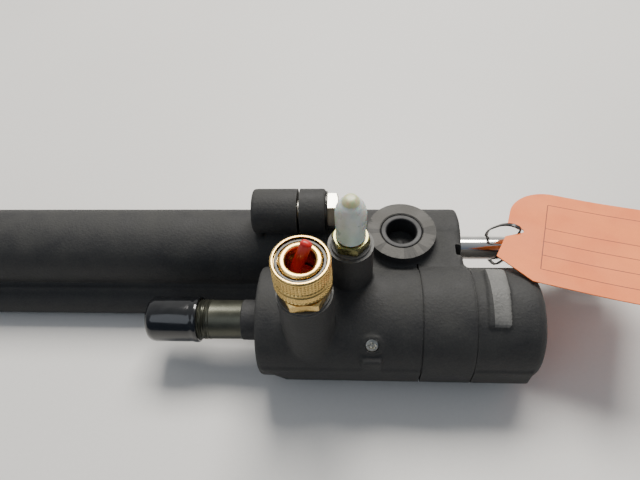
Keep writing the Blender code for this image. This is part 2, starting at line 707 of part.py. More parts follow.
def build_piston():
    out, bore = BORE_R - 0.4, 5.0 + GAP
    profile = [(out - 0.6, -223.9), (out, -224.5), (out, -225.5), (out - 2.6, -225.5),
               (out - 2.6, -228.5), (out, -228.5), (out, -230.0), (out - 2.2, -230.0),
               (out - 2.2, -233.0), (out, -233.0), (out, -234.4), (out - 0.6, -235.0),
               (bore, -235.0), (bore, -223.9)]
    return revolve("piston", profile, "rod", (0, 0, 0), "X", closed=True)


def build_piston_seal():
    return ring("piston_seal", BORE_R - GAP, BORE_R - 2.7, -228.2, -225.8, "rod_carriage",
                (0, 0, 0), "X")


def build_piston_wear_ring():
    return ring("piston_wear_ring", BORE_R - GAP, BORE_R - 2.3, -232.7, -230.3, "rod_carriage",
                (0, 0, 0), "X")


def build_piston_nut():
    nut = prism("piston_nut", 9.0, 6, -240.2, -235.3, "rod", (0, 0, 0), "X")
    cut(nut, rod("cut_piston_nut", 5.0 + GAP, -245, -230, "rod", (0, 0, 0), "X", steps=20, tool=True))
    return nut


def build_clevis():
    """Round fork on the rod's thread, with a cross hole for the link's pin."""
    r = CLEVIS_R
    profile = [(0, CLEVIS_RIGHT), (r - 4.0, CLEVIS_RIGHT), (r - 1.2, CLEVIS_RIGHT - 1.4),
               (r, CLEVIS_RIGHT - 4.5), (r, 146.0), (r - 3.4, CLEVIS_LEFT + 2.0),
               (r - 4.2, CLEVIS_LEFT), (0, CLEVIS_LEFT)]
    fork = revolve("clevis", profile, "rod", (0, 0, 0), "X")
    cut(fork,
        box("cut_fork_slot", (153.0, -5.0, -20.0), (185.0, 5.0, 20.0), "rod", tool=True),
        rod("cut_fork_pin", CLEVIS_PIN_R, -20, 20, "rod", (CLEVIS_PIN_X, 0, 0), "Y", steps=20, tool=True),
        rod("cut_fork_thread", 6.0 + GAP, CLEVIS_LEFT - 5, ROD_RIGHT + 1, "rod", (0, 0, 0), "X",
            steps=20, tool=True))
    return fork


def build_clevis_lock_nut():
    nut = prism("clevis_lock_nut", 10.6, 6, 130.5, CLEVIS_LEFT - GAP, "rod", (0, 0, 0), "X")
    cut(nut, rod("cut_lock_nut", 6.0 + GAP, 120, 145, "rod", (0, 0, 0), "X", steps=20, tool=True))
    return nut


# ---------------------------------------------------------------- steering cable tube and valve
def build_guide_tube():
    """Tube for the steering cable: threaded nose, plain run and black shoulder."""
    profile = [(TUBE_R - 1.0, -84.0), (TUBE_R, -83.0), (TUBE_R, -58.6), (TUBE_R - 0.35, -58.2),
               (TUBE_R - 0.35, -40.6), (TUBE_R, -40.2), (TUBE_R, 9.0), (10.2, 10.0), (10.2, 98.0),
               (TUBE_BORE_R, 98.0), (TUBE_BORE_R, -84.0)]
    profile = profile[::-1]
    return revolve("guide_tube", profile, "guide_tube", (0, VALVE_Y, 0), "X", closed=True)


def build_valve_spool():
    out, bore = 12.1, 10.2 + GAP
    profile = [(out, 80.0), (out, 72.0), (out - 1.1, 71.5), (out - 1.1, 64.5), (out, 64.0),
               (out, 56.0), (out - 1.1, 55.5), (out - 1.1, 48.5), (out, 48.0), (out, 40.0),
               (bore, 40.0), (bore, 80.0)]
    return revolve("valve_spool", profile, "guide_tube", (0, VALVE_Y, 0), "X", closed=True)


def build_spool_collar(name, low):
    """Collar on the tube that pushes a centring spring."""
    return ring(name, 16.0, 10.2 + GAP, low, low + 3.2, "guide_tube", (0, VALVE_Y, 0), "X", steps=24)


def build_tube_cap():
    """Dipped vinyl cap over the tube's open end, with a thicker rolled lip."""
    out, bore = 13.0, TUBE_R + GAP
    dome = [(out - 4.0 + 4.0 * math.cos(a), -90.0 - 4.0 * math.sin(a))
            for a in (math.pi / 2 * k / 4 for k in range(5))]
    profile = [(0, -91.6), (bore - 1.0, -91.6), (bore, -90.6), (bore, -64.7), (out - 0.5, -64.7),
               (out, -65.4), (out, -67.8), (out - 0.5, -68.5), *dome, (0, -94.0)]
    return revolve("tube_cap", profile, "tube_cap", (0, VALVE_Y, 0), "X")


# ---------------------------------------------------------------- shipping tag
def tag_frame():
    """Origin at the tag's hole, and unit directions along, across and out of the card."""
    normal = Vector((0.0, math.sin(TAG_TILT), math.cos(TAG_TILT)))
    down = Vector((0.0, -math.cos(TAG_TILT), math.sin(TAG_TILT)))
    lift = VALVE_Y * normal.y + VALVE_R + GAP + TAG_T / 2
    origin = Vector((TAG_HOLE_X, 0.0, 0.0)) + down * TAG_HOLE_S + normal * lift
    along = Vector((math.cos(TAG_TURN), 0.0, 0.0)) - down * math.sin(TAG_TURN)
    return origin, along, normal


def build_shipping_tag():
    """Card with one clipped and one rounded corner, slit from its end to the tie hole."""
    origin, along, normal = tag_frame()
    across = normal.cross(along)
    w, end = TAG_HALF_W, -7.0
    corner, cx, cy = 22.0, end + 22.0, w - 22.0
    arc = [(cx - corner * math.sin(a), cy + corner * math.cos(a))
           for a in (math.pi / 2 * k / 8 for k in range(9))]
    outline = [(TAG_LENGTH, w), *arc, (end, 3.0), (1.2, 1.6), (2.2, 0.0), (1.2, -1.6), (end, -7.0),
               (end - 2.5, -w + 13.0), (10.0, -w), (TAG_LENGTH, -w)]
    curve = bpy.data.curves.new("tag_outline", "CURVE")
    curve.dimensions = "2D"
    curve.fill_mode = "BOTH"
    curve.extrude = TAG_T / 2 * MM
    spline = curve.splines.new("POLY")
    spline.points.add(len(outline) - 1)
    for point, (l, s) in zip(spline.points, outline):
        point.co = (l * MM, s * MM, 0.0, 1.0)
    spline.use_cyclic_u = True
    card = bpy.data.objects.new("shipping_tag", curve)
    actuator.objects.link(card)
    place(card, "tag", origin)
    turn = Matrix((along, across, normal)).transposed()
    card.rotation_euler = turn.to_euler()
    return card


def build_tag_tie():
    """Nylon tie in a closed loop round the rod and through the tag's hole."""
    origin, along, normal = tag_frame()
    x, y, z = origin
    points = [(x, y, z + 1.2), (x - 1.5, y - 0.2, z + 3.2), (x - 5.0, y + 1.5, z + 3.4),
              (x - 8.5, y + 5.0, z - 1.0), (101.9, 4.6, 13.5), (101.4, 8.2, 6.5), (101.4, 9.6, 0.0),
              (102.0, 7.0, -6.8), (103.0, 0.0, -9.8), (105.0, -7.0, -6.8), (107.2, -9.7, 0.0),
              (109.6, -10.0, 8.0), (x - 1.2, y - 1.4, 15.0), (x - 0.2, y - 0.4, z - 3.0)]
    return sweep("tag_tie", smooth_loop(points, 3), TIE_R, "tag", (0, 0, 0), closed=True, resolution=1)


def smooth_loop(points, parts):
    """Catmull-Rom points on a closed loop."""
    count = len(points)
    made = []
    for k in range(count):
        p0, p1, p2, p3 = (Vector(points[(k + j) % count]) for j in (-1, 0, 1, 2))
        for part in range(parts):
            t = part / parts
            made.append(0.5 * (2 * p1 + (p2 - p0) * t + (2 * p0 - 5 * p1 + 4 * p2 - p3) * t * t
                               + (3 * p1 - p0 - 3 * p2 + p3) * t ** 3))
    return made


# ---------------------------------------------------------------- assembly
def build_bodies():
    offset = Vector((-(BOX_LEFT + BOX_RIGHT) / 2, -(BOX_FRONT + BOX_REAR) / 2, -REST_Z)) * MM
    body_empty("housing", (0, 0, 0))
    bodies["housing"][0].location = offset
    valve, coupler = (0, VALVE_Y, 0), (COUPLER_X, COUPLER_Y, PORT_TOP)
    body_empty("rod_carriage", (0, 0, 0), "housing")
    body_empty("rod", (0, 0, 0), "rod_carriage")
    body_empty("tag", (TAG_HOLE_X, 0, 0), "rod_carriage")
    body_empty("guide_tube", valve, "housing")
    body_empty("tube_cap", (-80, VALVE_Y, 0), "guide_tube")
    body_empty("coupler_sleeve", coupler, "housing")
    body_empty("coupler_poppet", coupler, "housing")
    body_empty("red_plug", (COUPLER_X, COUPLER_Y, COUPLER_TOP), "housing")
    body_empty("white_cap", (RETURN_X, RETURN_Y, 70), "housing")


def build_all():
    cast = material("cast_black", (0.022, 0.022, 0.024), 0.55, 0.1)
    steel = material("zinc_steel", (0.62, 0.60, 0.56), 0.32, 1.0)
    chrome = material("chrome", (0.80, 0.80, 0.82), 0.10, 1.0)
    dark_steel = material("dark_steel", (0.16, 0.155, 0.14), 0.35, 0.9)
    brass = material("brass", (0.78, 0.55, 0.25), 0.26, 1.0)
    bronze = material("bronze", (0.55, 0.38, 0.20), 0.35, 1.0)
    rubber = material("rubber", (0.02, 0.02, 0.02), 0.7)
    gasket = material("gasket_paper", (0.10, 0.10, 0.09), 0.9)
    aluminium = material("aluminium", (0.72, 0.72, 0.72), 0.35, 1.0)
    vinyl = material("black_vinyl", (0.01, 0.01, 0.01), 0.12)
    red = material("red_plastic", (0.70, 0.02, 0.03), 0.35)
    white = material("white_plastic", (0.86, 0.88, 0.84), 0.35)
    orange = material("orange_card", (0.85, 0.20, 0.06), 0.6)
    nylon = material("black_nylon", (0.015, 0.015, 0.015), 0.4)

    made = [
        (build_valve_housing(), cast),
        (build_cylinder_barrel(), cast),
        (build_flange_gasket(), gasket),
        (build_flange_bolt("flange_bolt_top", 0), steel),
        (build_flange_bolt("flange_bolt_rear", 1), steel),
        (build_flange_washer("flange_washer_top", 0), steel),
        (build_flange_washer("flange_washer_rear", 1), steel),
        (build_gallery_plug(), steel),
        (build_pivot_bushing("pivot_bushing_top", PIVOT_FACE - PIVOT_DEPTH + GAP, PIVOT_FACE - 0.4), rubber),
        (build_pivot_bushing("pivot_bushing_bottom", REST_Z + 0.4, REST_Z + PIVOT_DEPTH - GAP), rubber),
        (build_rod_gland(), aluminium),
        (build_rod_seal(), rubber),
        (build_rod_wiper(), rubber),
        (snap_ring("gland_retaining_ring", GLAND_R + 1.2, GLAND_R - 3.2, 77.3, 78.1, (0, 0, 0), 3.0), dark_steel),
        (build_tube_seal(), rubber),
        (build_valve_sleeve(), steel),
        (build_centering_spring("centering_spring_left", 22.3, 34.2), dark_steel),
        (build_centering_spring("centering_spring_right", 85.8, 92.2), dark_steel),
        (build_housing_end_cap(), aluminium),
        (ring("end_cap_seal", CHAMBER_R - GAP, CHAMBER_R - 2.4, 103.3, 106.2, "housing",
              (0, VALVE_Y, 0), "X"), rubber),
        (snap_ring("end_cap_retaining_ring", CHAMBER_R + 0.9, CHAMBER_R - 2.6, 113.0, 113.9,
                   (0, VALVE_Y, 0), 4.0), dark_steel),
        (build_locating_screw(), steel),
        (build_coupler_body(), brass),
        *((build_locking_ball(f"locking_ball_{k + 1}", k), steel) for k in range(6)),
        (build_coupler_poppet(), brass),
        (build_poppet_spring(), steel),
        (build_coupler_sleeve(), brass),
        (build_sleeve_spring(), steel),
        (build_sleeve_stop_ring(), steel),
        (build_port_washer("pressure_port_washer", 6.5, 12.4, coupler_at()), aluminium),
        (build_red_plug(), red),
        (build_return_fitting(), steel),
        (build_port_washer("return_port_washer", 5.3, 9.8, (RETURN_X, RETURN_Y, 0)), aluminium),
        (build_white_cap(), white),
        (build_piston_rod(), chrome),
        (build_piston(), aluminium),
        (build_piston_seal(), rubber),
        (build_piston_wear_ring(), bronze),
        (build_piston_nut(), steel),
        (build_clevis(), dark_steel),
        (build_clevis_lock_nut(), steel),
        (build_guide_tube(), dark_steel),
        (build_valve_spool(), steel),
        (build_spool_collar("spool_collar_left", 17.5), steel),
        (build_spool_collar("spool_collar_right", 94.0), steel),
        (build_tube_cap(), vinyl),
        (build_shipping_tag(), orange),
        (build_tag_tie(), nylon),
    ]
    for obj, surface in made:
        dress(obj, surface)
        if obj.type == "MESH":
            smooth(obj)


clear_scene()
actuator = collection("steering_actuator")
cutters = collection("cutters")
guides = collection("axes")
build_bodies()
build_all()
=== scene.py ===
"""Looks for the hydraulic steering actuator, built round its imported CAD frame.

Shapes are drawn in millimetres in the part's design axes: +X runs along the cylinder towards the clevis,
+Y to the cylinder side and +Z up, with the origin on the cylinder's axis. settle() carries each finished
mesh to the frame, in metres.
"""

import json
import math

import bmesh
import bpy
import numpy as np
from mathutils import Matrix, Vector, noise


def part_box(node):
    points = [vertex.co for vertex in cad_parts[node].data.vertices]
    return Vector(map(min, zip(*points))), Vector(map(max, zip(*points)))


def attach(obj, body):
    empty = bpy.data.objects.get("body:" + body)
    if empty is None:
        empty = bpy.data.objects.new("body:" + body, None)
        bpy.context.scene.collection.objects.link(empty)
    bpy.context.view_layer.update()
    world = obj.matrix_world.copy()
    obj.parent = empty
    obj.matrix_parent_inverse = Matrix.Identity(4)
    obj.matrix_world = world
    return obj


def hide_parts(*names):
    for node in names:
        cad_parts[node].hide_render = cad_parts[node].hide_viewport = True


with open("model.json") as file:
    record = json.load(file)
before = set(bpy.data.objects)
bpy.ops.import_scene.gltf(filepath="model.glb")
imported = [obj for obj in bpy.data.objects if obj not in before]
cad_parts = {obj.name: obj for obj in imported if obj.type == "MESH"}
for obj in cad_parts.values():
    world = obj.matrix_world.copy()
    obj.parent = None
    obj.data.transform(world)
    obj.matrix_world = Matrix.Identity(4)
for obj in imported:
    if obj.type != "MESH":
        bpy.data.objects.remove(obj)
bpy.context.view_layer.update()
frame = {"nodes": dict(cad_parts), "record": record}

MM = 0.001
VALVE_RIGHT = 117.5  # the valve housing's right end in the design axes
STEPS = 96  # sides of a turned piece

rod_low, rod_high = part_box("piston_rod")
ORIGIN = Vector((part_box("valve_housing")[1].x - VALVE_RIGHT * MM,
                 (rod_low.y + rod_high.y) / 2, (rod_low.z + rod_high.z) / 2))


def middle(node):
    """The middle of a CAD node's box in the design axes."""
    low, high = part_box(node)
    return ((low + high) / 2 - ORIGIN) / MM


# Places taken from the frame, in the design axes
VALVE_Y = middle("guide_tube").y
COUPLER = middle("coupler_sleeve").xy
RETURN = middle("white_cap").xy
PIVOT = middle("pivot_bushing_top").xy
LUGS = (middle("flange_washer_top"), middle("flange_washer_rear"))
GALLERY = middle("gallery_plug")
REST_Z = (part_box("valve_housing")[0].z - ORIGIN.z) / MM
BARREL_LEFT = (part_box("cylinder_barrel")[0].x - ORIGIN.x) / MM

# Sizes that pieces share
SPLIT = -9.1  # joint face of the valve housing
BARREL_FACE = -10.5  # the barrel's face across the gasket
BARREL_R = 23.0
VALVE_R = 29.8
VALVE_LEFT = -30.0
LUG_R = 12.5
LUG_RIGHT = 4.8
PORT_TOP = 56.0
PIVOT_FACE = 29.0
COUPLER_TOP = 82.6
SCREW_AT = (29.8, -71.5, 17.0)
SCREW_LEAN = math.radians(52.0)
PORT_SEAT = PORT_TOP + 1.6  # underside of the port fittings, over their washers
BOLT_HOLE_R = 6.3
GALLERY_BORE_R = 3.5
PAD_X = 95.8  # middle of the marking pad along the valve
ROD_R = 7.05
TUBE_R = 11.1
TUBE_BORE_R = 8.2
GRIP_R = 13.1  # knurled outside of the coupler's sleeve
GRIP_ROW = 0.3  # height of one row of knurling faces
PRINT_LEFT, PRINT_RIGHT = 13.0, 68.0  # the form printed on the tag, along and across the card
PRINT_LOW, PRINT_TOP = -27.0, 27.0
PRINT_ROW = 11.0
TAG_TILT = math.radians(10.0)
TAG_TURN = math.radians(-18.0)
TAG_T = 0.8
TAG_HALF_W = 37.0
TAG_LENGTH = 76.0
TAG_END = -7.0  # the card's tied end, from its hole
TAG_CORNER = 22.0
TAG_HOLE = (113.2, 8.7)
TURN = {
    "X": Matrix.Rotation(math.pi / 2, 4, "Y"),
    "Y": Matrix.Rotation(-math.pi / 2, 4, "X"),
    "Z": Matrix.Identity(4),
}


# ---------------------------------------------------------------- shapes
def eased(profile, closed=False, parts=4):
    """(radius, height) points with a round at each corner that gives one as a third number."""
    made = []
    count = len(profile)
    for k, point in enumerate(profile):
        here = Vector(point[:2])
        size = point[2] if len(point) > 2 else 0.0
        if not size or (not closed and k in (0, count - 1)):
            made.append(tuple(here))
            continue
        before = Vector(profile[k - 1][:2]) - here
        after = Vector(profile[(k + 1) % count][:2]) - here
        size = min(size, before.length * 0.49, after.length * 0.49)
        start, end = here + before.normalized() * size, here + after.normalized() * size
        for part in range(parts + 1):
            t = part / parts
            made.append(tuple(start * (1 - t) ** 2 + here * 2 * t * (1 - t) + end * t * t))
    return made


def turned(profile, at=(0, 0, 0), axis="Z", closed=False, steps=STEPS, wave=None, turn=0.0):
    """A turned solid. wave(angle, height, radius) gives what to add to the radius, as for knurling."""
    bm = bmesh.new()
    rings = []
    for r, h in eased(profile, closed):
        if r < 1e-6:
            rings.append([bm.verts.new((0.0, 0.0, h))])
            continue
        ring = []
        for k in range(steps):
            a = turn + 2 * math.pi * k / steps
            q = r + wave(a, h, r) if wave else r
            ring.append(bm.verts.new((q * math.cos(a), q * math.sin(a), h)))
        rings.append(ring)
    pairs = list(zip(rings, rings[1:]))
    if closed:
        pairs.append((rings[-1], rings[0]))
    for a, b in pairs:
        for k in range(steps):
            j = k + 1
            corners = [a[k % len(a)], a[j % len(a)], b[j % len(b)], b[k % len(b)]]
            corners = list(dict.fromkeys(corners))
            if len(corners) > 2:
                bm.faces.new(corners)
    return put(bm, at, axis)


def put(bm, at=(0, 0, 0), axis="Z", spin=None):
    """Turns a Z-aligned shape to its axis, moves it to its place and makes its faces look outward."""
    matrix = Matrix.Translation(Vector(at)) @ (spin or TURN[axis])
    bmesh.ops.transform(bm, matrix=matrix, verts=bm.verts)
    bmesh.ops.recalc_face_normals(bm, faces=bm.faces)
    return bm


def rod(radius, low, high, at=(0, 0, 0), axis="Z", edge=0.0, steps=STEPS):
    """A solid cylinder with eased ends."""
    return turned([(0, high), (radius, high, edge), (radius, low, edge), (0, low)], at, axis, steps=steps)


def ring(outer, inner, low, high, at=(0, 0, 0), axis="Z", edge=0.2):
    """A flat ring or tube with eased edges."""
    profile = [(outer, high, edge), (outer, low, edge), (inner, low, edge), (inner, high, edge)]
    return turned(profile, at, axis, closed=True)


def hexagon(radius, low, high, at, axis="Z", turn=0.0):
    """A six-sided bar, with radius to its corners."""
    return turned([(0, high), (radius, high), (radius, low), (0, low)], at, axis, steps=6, turn=turn)


def block(low, high, edge=0.0, corners=3):
    """An upright box between two corners, with eased edges."""
    low, high = Vector(low), Vector(high)
    bm = bmesh.new()
    bmesh.ops.create_cube(bm, size=1.0)
    bmesh.ops.scale(bm, verts=bm.verts, vec=high - low)
    bmesh.ops.translate(bm, verts=bm.verts, vec=(low + high) / 2)
    if edge:
        bmesh.ops.bevel(bm, geom=list(bm.edges), offset=edge, segments=corners, profile=0.5,
                        affect="EDGES")
    return bm


def piece(name, *shapes):
    """One object from one or more shapes, which are used up."""
    mesh = bpy.data.meshes.new(name)
    whole = bmesh.new()
    for bm in shapes:
        part = bpy.data.meshes.new("part")
        bm.to_mesh(part)
        bm.free()
        whole.from_mesh(part)
        bpy.data.meshes.remove(part)
    whole.to_mesh(mesh)
    whole.free()
    obj = bpy.data.objects.new(name, mesh)
    bpy.context.scene.collection.objects.link(obj)
    return obj


def loosen(obj):
    """Takes a piece back to a loose shape."""
    bm = bmesh.new()
    bm.from_mesh(obj.data)
    bpy.data.objects.remove(obj, do_unlink=True)
    return bm


def bake(obj):
    """Applies the object's modifiers to its mesh."""
    bpy.context.view_layer.update()
    seen = obj.evaluated_get(bpy.context.evaluated_depsgraph_get())
    made = bpy.data.meshes.new_from_object(seen)
    obj.modifiers.clear()
    obj.data = made
    return obj


def carve(obj, shapes, operation="DIFFERENCE"):
    """Cuts shapes out of a piece, or joins or meets it with them, one by one."""
    tools = [piece(f"tool_{k}", bm) for k, bm in enumerate(shapes)]
    for tool in tools:
        mod = obj.modifiers.new(tool.name, "BOOLEAN")
        mod.operation = operation
        mod.solver = "MANIFOLD"
        mod.object = tool
    bake(obj)
    for tool in tools:
        bpy.data.objects.remove(tool, do_unlink=True)
    return obj


def cast(name, shapes, voxel=0.75, rounds=9, keep=0.5):
    """Overlapping shapes run together into one casting with fillets where they meet."""
    obj = piece(name, *shapes)
    remesh = obj.modifiers.new("run together", "REMESH")
    remesh.mode = "VOXEL"
    remesh.voxel_size = voxel
    remesh.adaptivity = 0.0
    soften = obj.modifiers.new("fillets", "SMOOTH")
    soften.factor = 0.5
    soften.iterations = rounds
    thin = obj.modifiers.new("thin", "DECIMATE")
    thin.ratio = keep
    bake(obj)
    roughen(obj.data)
    return obj


def roughen(mesh, depth=0.07, scale=0.11):
    """Moves a casting's skin in and out a little, because sand castings are never quite true."""
    count = len(mesh.vertices)
    spots, normals = np.zeros(count * 3), np.zeros(count * 3)
    mesh.vertices.foreach_get("co", spots)
    mesh.vertex_normals.foreach_get("vector", normals)
    spots, normals = spots.reshape(-1, 3), normals.reshape(-1, 3)
    rise = np.array([noise.noise(Vector(spot) * scale) for spot in spots])
    mesh.vertices.foreach_set("co", (spots + normals * (rise * depth)[:, None]).ravel())
    mesh.update()


def settle(obj, body, stands_for, slot, *surfaces, sharp=32.0):
    """Carries a piece from the design axes to the frame and ties it to its body.

    Faces that paint_faces gave another of the surfaces keep it.
    """
    obj.data.transform(Matrix.Translation(ORIGIN) @ Matrix.Scale(MM, 4))
    obj.data.shade_smooth()
    obj.data.set_sharp_from_angle(angle=math.radians(sharp))
    painted = [face.material_index for face in obj.data.polygons]
    obj.data.materials.clear()
    for finish in surfaces:
        obj.data.materials.append(finish)
    obj.data.polygons.foreach_set("material_index", painted)
    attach(obj, body)
    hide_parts(*stands_for)
    return obj


def paint_faces(obj, index, test):
    """Gives the surface of that number to the faces whose middle and normal pass a test."""
    for face in obj.data.polygons:
        if test(face.center, face.normal):
            face.material_index = index


# ---------------------------------------------------------------- materials
def surface(name, dark, light, rough, metallic=0.0, patch=90.0, grain=1200.0, height=0.12,
            stretch=(1, 1, 1), edge_wear_and_highlight=None, hollow_shade=None, pits=0.0, **fixed):
    """A finish from two layers of noise: slow patches of colour and gloss, and a fine bumpy grain.

    rough is (lowest, highest). stretch squeezes the grain along an axis into lathe or draw marks.
    edge_wear_and_highlight is the colour of rubbed edges, which also stands as a painted highlight along
    them, and hollow_shade is painted shade in hollows. pits adds small open pores. Anything else is set on
    the shader's own sockets.
    """
    made = bpy.data.materials.new(name)
    made.use_nodes = True
    nodes, links = made.node_tree.nodes, made.node_tree.links
    shader = nodes["Principled BSDF"]
    shader.inputs["Metallic"].default_value = metallic
    for socket, value in fixed.items():
        shader.inputs[socket.replace("_", " ")].default_value = value
    place = nodes.new("ShaderNodeTexCoord").outputs["Object"]

    def clouds(scale, detail, squeeze=(1, 1, 1)):
        mapping = nodes.new("ShaderNodeMapping")
        mapping.inputs["Scale"].default_value = squeeze
        links.new(place, mapping.inputs["Vector"])
        cloud = nodes.new("ShaderNodeTexNoise")
        cloud.inputs["Scale"].default_value = scale
        cloud.inputs["Detail"].default_value = detail
        links.new(mapping.outputs["Vector"], cloud.inputs["Vector"])
        return cloud.outputs["Fac"]

    slow, fine = clouds(patch, 4.0), clouds(grain, 3.0, stretch)
    both = nodes.new("ShaderNodeMath")
    both.operation = "MULTIPLY_ADD"
    both.inputs[1].default_value = 0.45
    links.new(fine, both.inputs[0])
    links.new(slow, both.inputs[2])
    colour = blend(nodes, links, ramp(nodes, links, both.outputs["Value"], 0.5, 0.95), dark, light)
    # lighter colour on convex edges: worn paint, and a painted highlight along the edges
    if edge_wear_and_highlight:
        sharpness = nodes.new("ShaderNodeNewGeometry").outputs["Pointiness"]
        colour = blend(nodes, links, ramp(nodes, links, sharpness, 0.53, 0.60, 0.0, 0.75), colour, edge_wear_and_highlight)
    # darker colour in hollows, such as the valleys of knurling: painted shade
    if hollow_shade:
        sharpness = nodes.new("ShaderNodeNewGeometry").outputs["Pointiness"]
        colour = blend(nodes, links, ramp(nodes, links, sharpness, 0.50, 0.40), colour, hollow_shade)
    links.new(colour, shader.inputs["Base Color"])
    links.new(ramp(nodes, links, slow, 0.35, 0.65, *rough), shader.inputs["Roughness"])
    skin = bumps(nodes, links, fine, 0.6, height)
    if pits:
        pores = nodes.new("ShaderNodeTexVoronoi")
        pores.inputs["Scale"].default_value = grain * 0.5
        links.new(place, pores.inputs["Vector"])
        dents = bumps(nodes, links, pores.outputs["Distance"], 0.5, pits)
        links.new(dents.outputs["Normal"], skin.inputs["Normal"])
    links.new(skin.outputs["Normal"], shader.inputs["Normal"])
    return made


def ramp(nodes, links, value, low, high, start=0.0, end=1.0):
    """Maps the range from low to high onto start to end, held at both ends."""
    node = nodes.new("ShaderNodeMapRange")
    for socket, number in (("From Min", low), ("From Max", high), ("To Min", start), ("To Max", end)):
        node.inputs[socket].default_value = number
    links.new(value, node.inputs["Value"])
    return node.outputs["Result"]


def bumps(nodes, links, value, strength, depth):
    """A bump node whose relief is depth millimetres."""
    node = nodes.new("ShaderNodeBump")
    node.inputs["Strength"].default_value = strength
    node.inputs["Distance"].default_value = depth * MM
    links.new(value, node.inputs["Height"])
    return node


def blend(nodes, links, share, first, second):
    """A colour mixed from two, each a plain colour or another node's output."""
    mix = nodes.new("ShaderNodeMix")
    mix.data_type = "RGBA"
    links.new(share, mix.inputs["Factor"])
    for socket, value in ((mix.inputs[6], first), (mix.inputs[7], second)):
        if isinstance(value, tuple):
            socket.default_value = (*value, 1.0)
        else:
            links.new(value, socket)
    return mix.outputs[2]


def printed_card():
    """Orange card with the thin dark rules of an empty form, drawn along the card's own UV axes."""
    made = surface("orange_card", (0.80, 0.17, 0.030), (0.92, 0.23, 0.050), (0.42, 0.56), patch=60.0,
                   grain=1500.0, height=0.03)
    nodes, links = made.node_tree.nodes, made.node_tree.links
    shader = nodes["Principled BSDF"]
    plain = shader.inputs["Base Color"].links[0].from_socket
    split = nodes.new("ShaderNodeSeparateXYZ")
    links.new(nodes.new("ShaderNodeTexCoord").outputs["UV"], split.inputs[0])

    def maths(operation, *values):
        node = nodes.new("ShaderNodeMath")
        node.operation = operation
        for socket, value in zip(node.inputs, values):
            if isinstance(value, float):
                socket.default_value = value
            else:
                links.new(value, socket)
        return node.outputs["Value"]

    def near(value, line, half):
        return maths("LESS_THAN", maths("ABSOLUTE", maths("SUBTRACT", value, line)), half)

    def between(value, low, high):
        return maths("MULTIPLY", maths("GREATER_THAN", value, low), maths("LESS_THAN", value, high))

    along, across = split.outputs["X"], split.outputs["Y"]
    half_line = 0.22
    inside_along = between(along, PRINT_LEFT, PRINT_RIGHT)
    inside_across = between(across, PRINT_LOW, PRINT_TOP)
    rules = [maths("MULTIPLY", near(along, line, half_line), inside_across)
             for line in (PRINT_LEFT, PRINT_RIGHT)]
    rules += [maths("MULTIPLY", near(across, line, half_line), inside_along)
              for line in (*(PRINT_LOW + PRINT_ROW * k for k in range(4)), PRINT_TOP)]
    ink = rules[0]
    for rule in rules[1:]:
        ink = maths("MAXIMUM", ink, rule)
    links.new(blend(nodes, links, ink, plain, (0.10, 0.025, 0.015)), shader.inputs["Base Color"])
    return made


# the cast finish gets worn edges that also carry a painted highlight
CAST = surface("cast_black", (0.021, 0.021, 0.022), (0.043, 0.043, 0.041), (0.60, 0.78), patch=70.0,
               grain=1000.0, height=0.26, edge_wear_and_highlight=(0.12, 0.115, 0.105), pits=0.16, Specular_IOR_Level=0.34)
PAD = surface("stippled_pad", (0.080, 0.080, 0.076), (0.16, 0.158, 0.150), (0.55, 0.72), grain=950.0,
              height=0.30, pits=0.2)
STEEL = surface("zinc_steel", (0.56, 0.53, 0.45), (0.80, 0.77, 0.68), (0.24, 0.38), metallic=1.0,
                grain=1600.0, height=0.015)
OLIVE = surface("olive_zinc", (0.20, 0.19, 0.07), (0.40, 0.37, 0.17), (0.20, 0.34), metallic=1.0,
                patch=300.0, height=0.02)
CHROME = surface("chrome", (0.74, 0.73, 0.70), (0.84, 0.83, 0.81), (0.07, 0.13), metallic=1.0, grain=2600.0,
                 height=0.004, stretch=(4, 0.4, 0.4))
TUBE = surface("dark_steel", (0.050, 0.052, 0.040), (0.092, 0.093, 0.072), (0.30, 0.40), metallic=0.75,
               grain=1500.0, height=0.012, stretch=(3, 0.5, 0.5))
DULL = surface("dull_aluminium", (0.07, 0.07, 0.068), (0.13, 0.13, 0.125), (0.45, 0.6), metallic=0.8,
               height=0.02)
DARK = surface("tempered_steel", (0.030, 0.030, 0.030), (0.065, 0.063, 0.058), (0.30, 0.42), metallic=0.8,
               height=0.02)
# the brass gets painted shade in its hollows, such as the knurl valleys
BRASS = surface("brass", (0.60, 0.39, 0.12), (0.80, 0.57, 0.22), (0.20, 0.32), metallic=1.0, patch=160.0,
                grain=2200.0, height=0.012, stretch=(0.5, 0.5, 4), hollow_shade=(0.10, 0.065, 0.02))
BRONZE = surface("bronze", (0.38, 0.23, 0.10), (0.56, 0.38, 0.20), (0.28, 0.40), metallic=1.0, height=0.02)
RUBBER = surface("rubber", (0.012, 0.012, 0.013), (0.026, 0.026, 0.027), (0.50, 0.66), grain=1700.0,
                 height=0.03)
GASKET = surface("gasket_sheet", (0.075, 0.074, 0.062), (0.12, 0.115, 0.10), (0.75, 0.90), height=0.06)
ALUMINIUM = surface("aluminium", (0.52, 0.52, 0.51), (0.74, 0.74, 0.73), (0.26, 0.40), metallic=1.0,
                    grain=1900.0, height=0.015)
VINYL = surface("black_vinyl", (0.0035, 0.0038, 0.0045), (0.008, 0.0085, 0.010), (0.11, 0.20), patch=140.0,
                grain=420.0, height=0.02, Coat_Weight=0.5, Coat_Roughness=0.08)
RED = surface("red_plastic", (0.42, 0.006, 0.004), (0.58, 0.014, 0.008), (0.28, 0.40), grain=900.0,
              height=0.03, Subsurface_Weight=0.15, Subsurface_Scale=0.002)
WHITE = surface("white_plastic", (0.60, 0.66, 0.62), (0.74, 0.79, 0.74), (0.26, 0.38), patch=160.0,
                grain=700.0, height=0.03, Subsurface_Weight=0.45, Subsurface_Scale=0.004,
                Transmission_Weight=0.18, IOR=1.46)
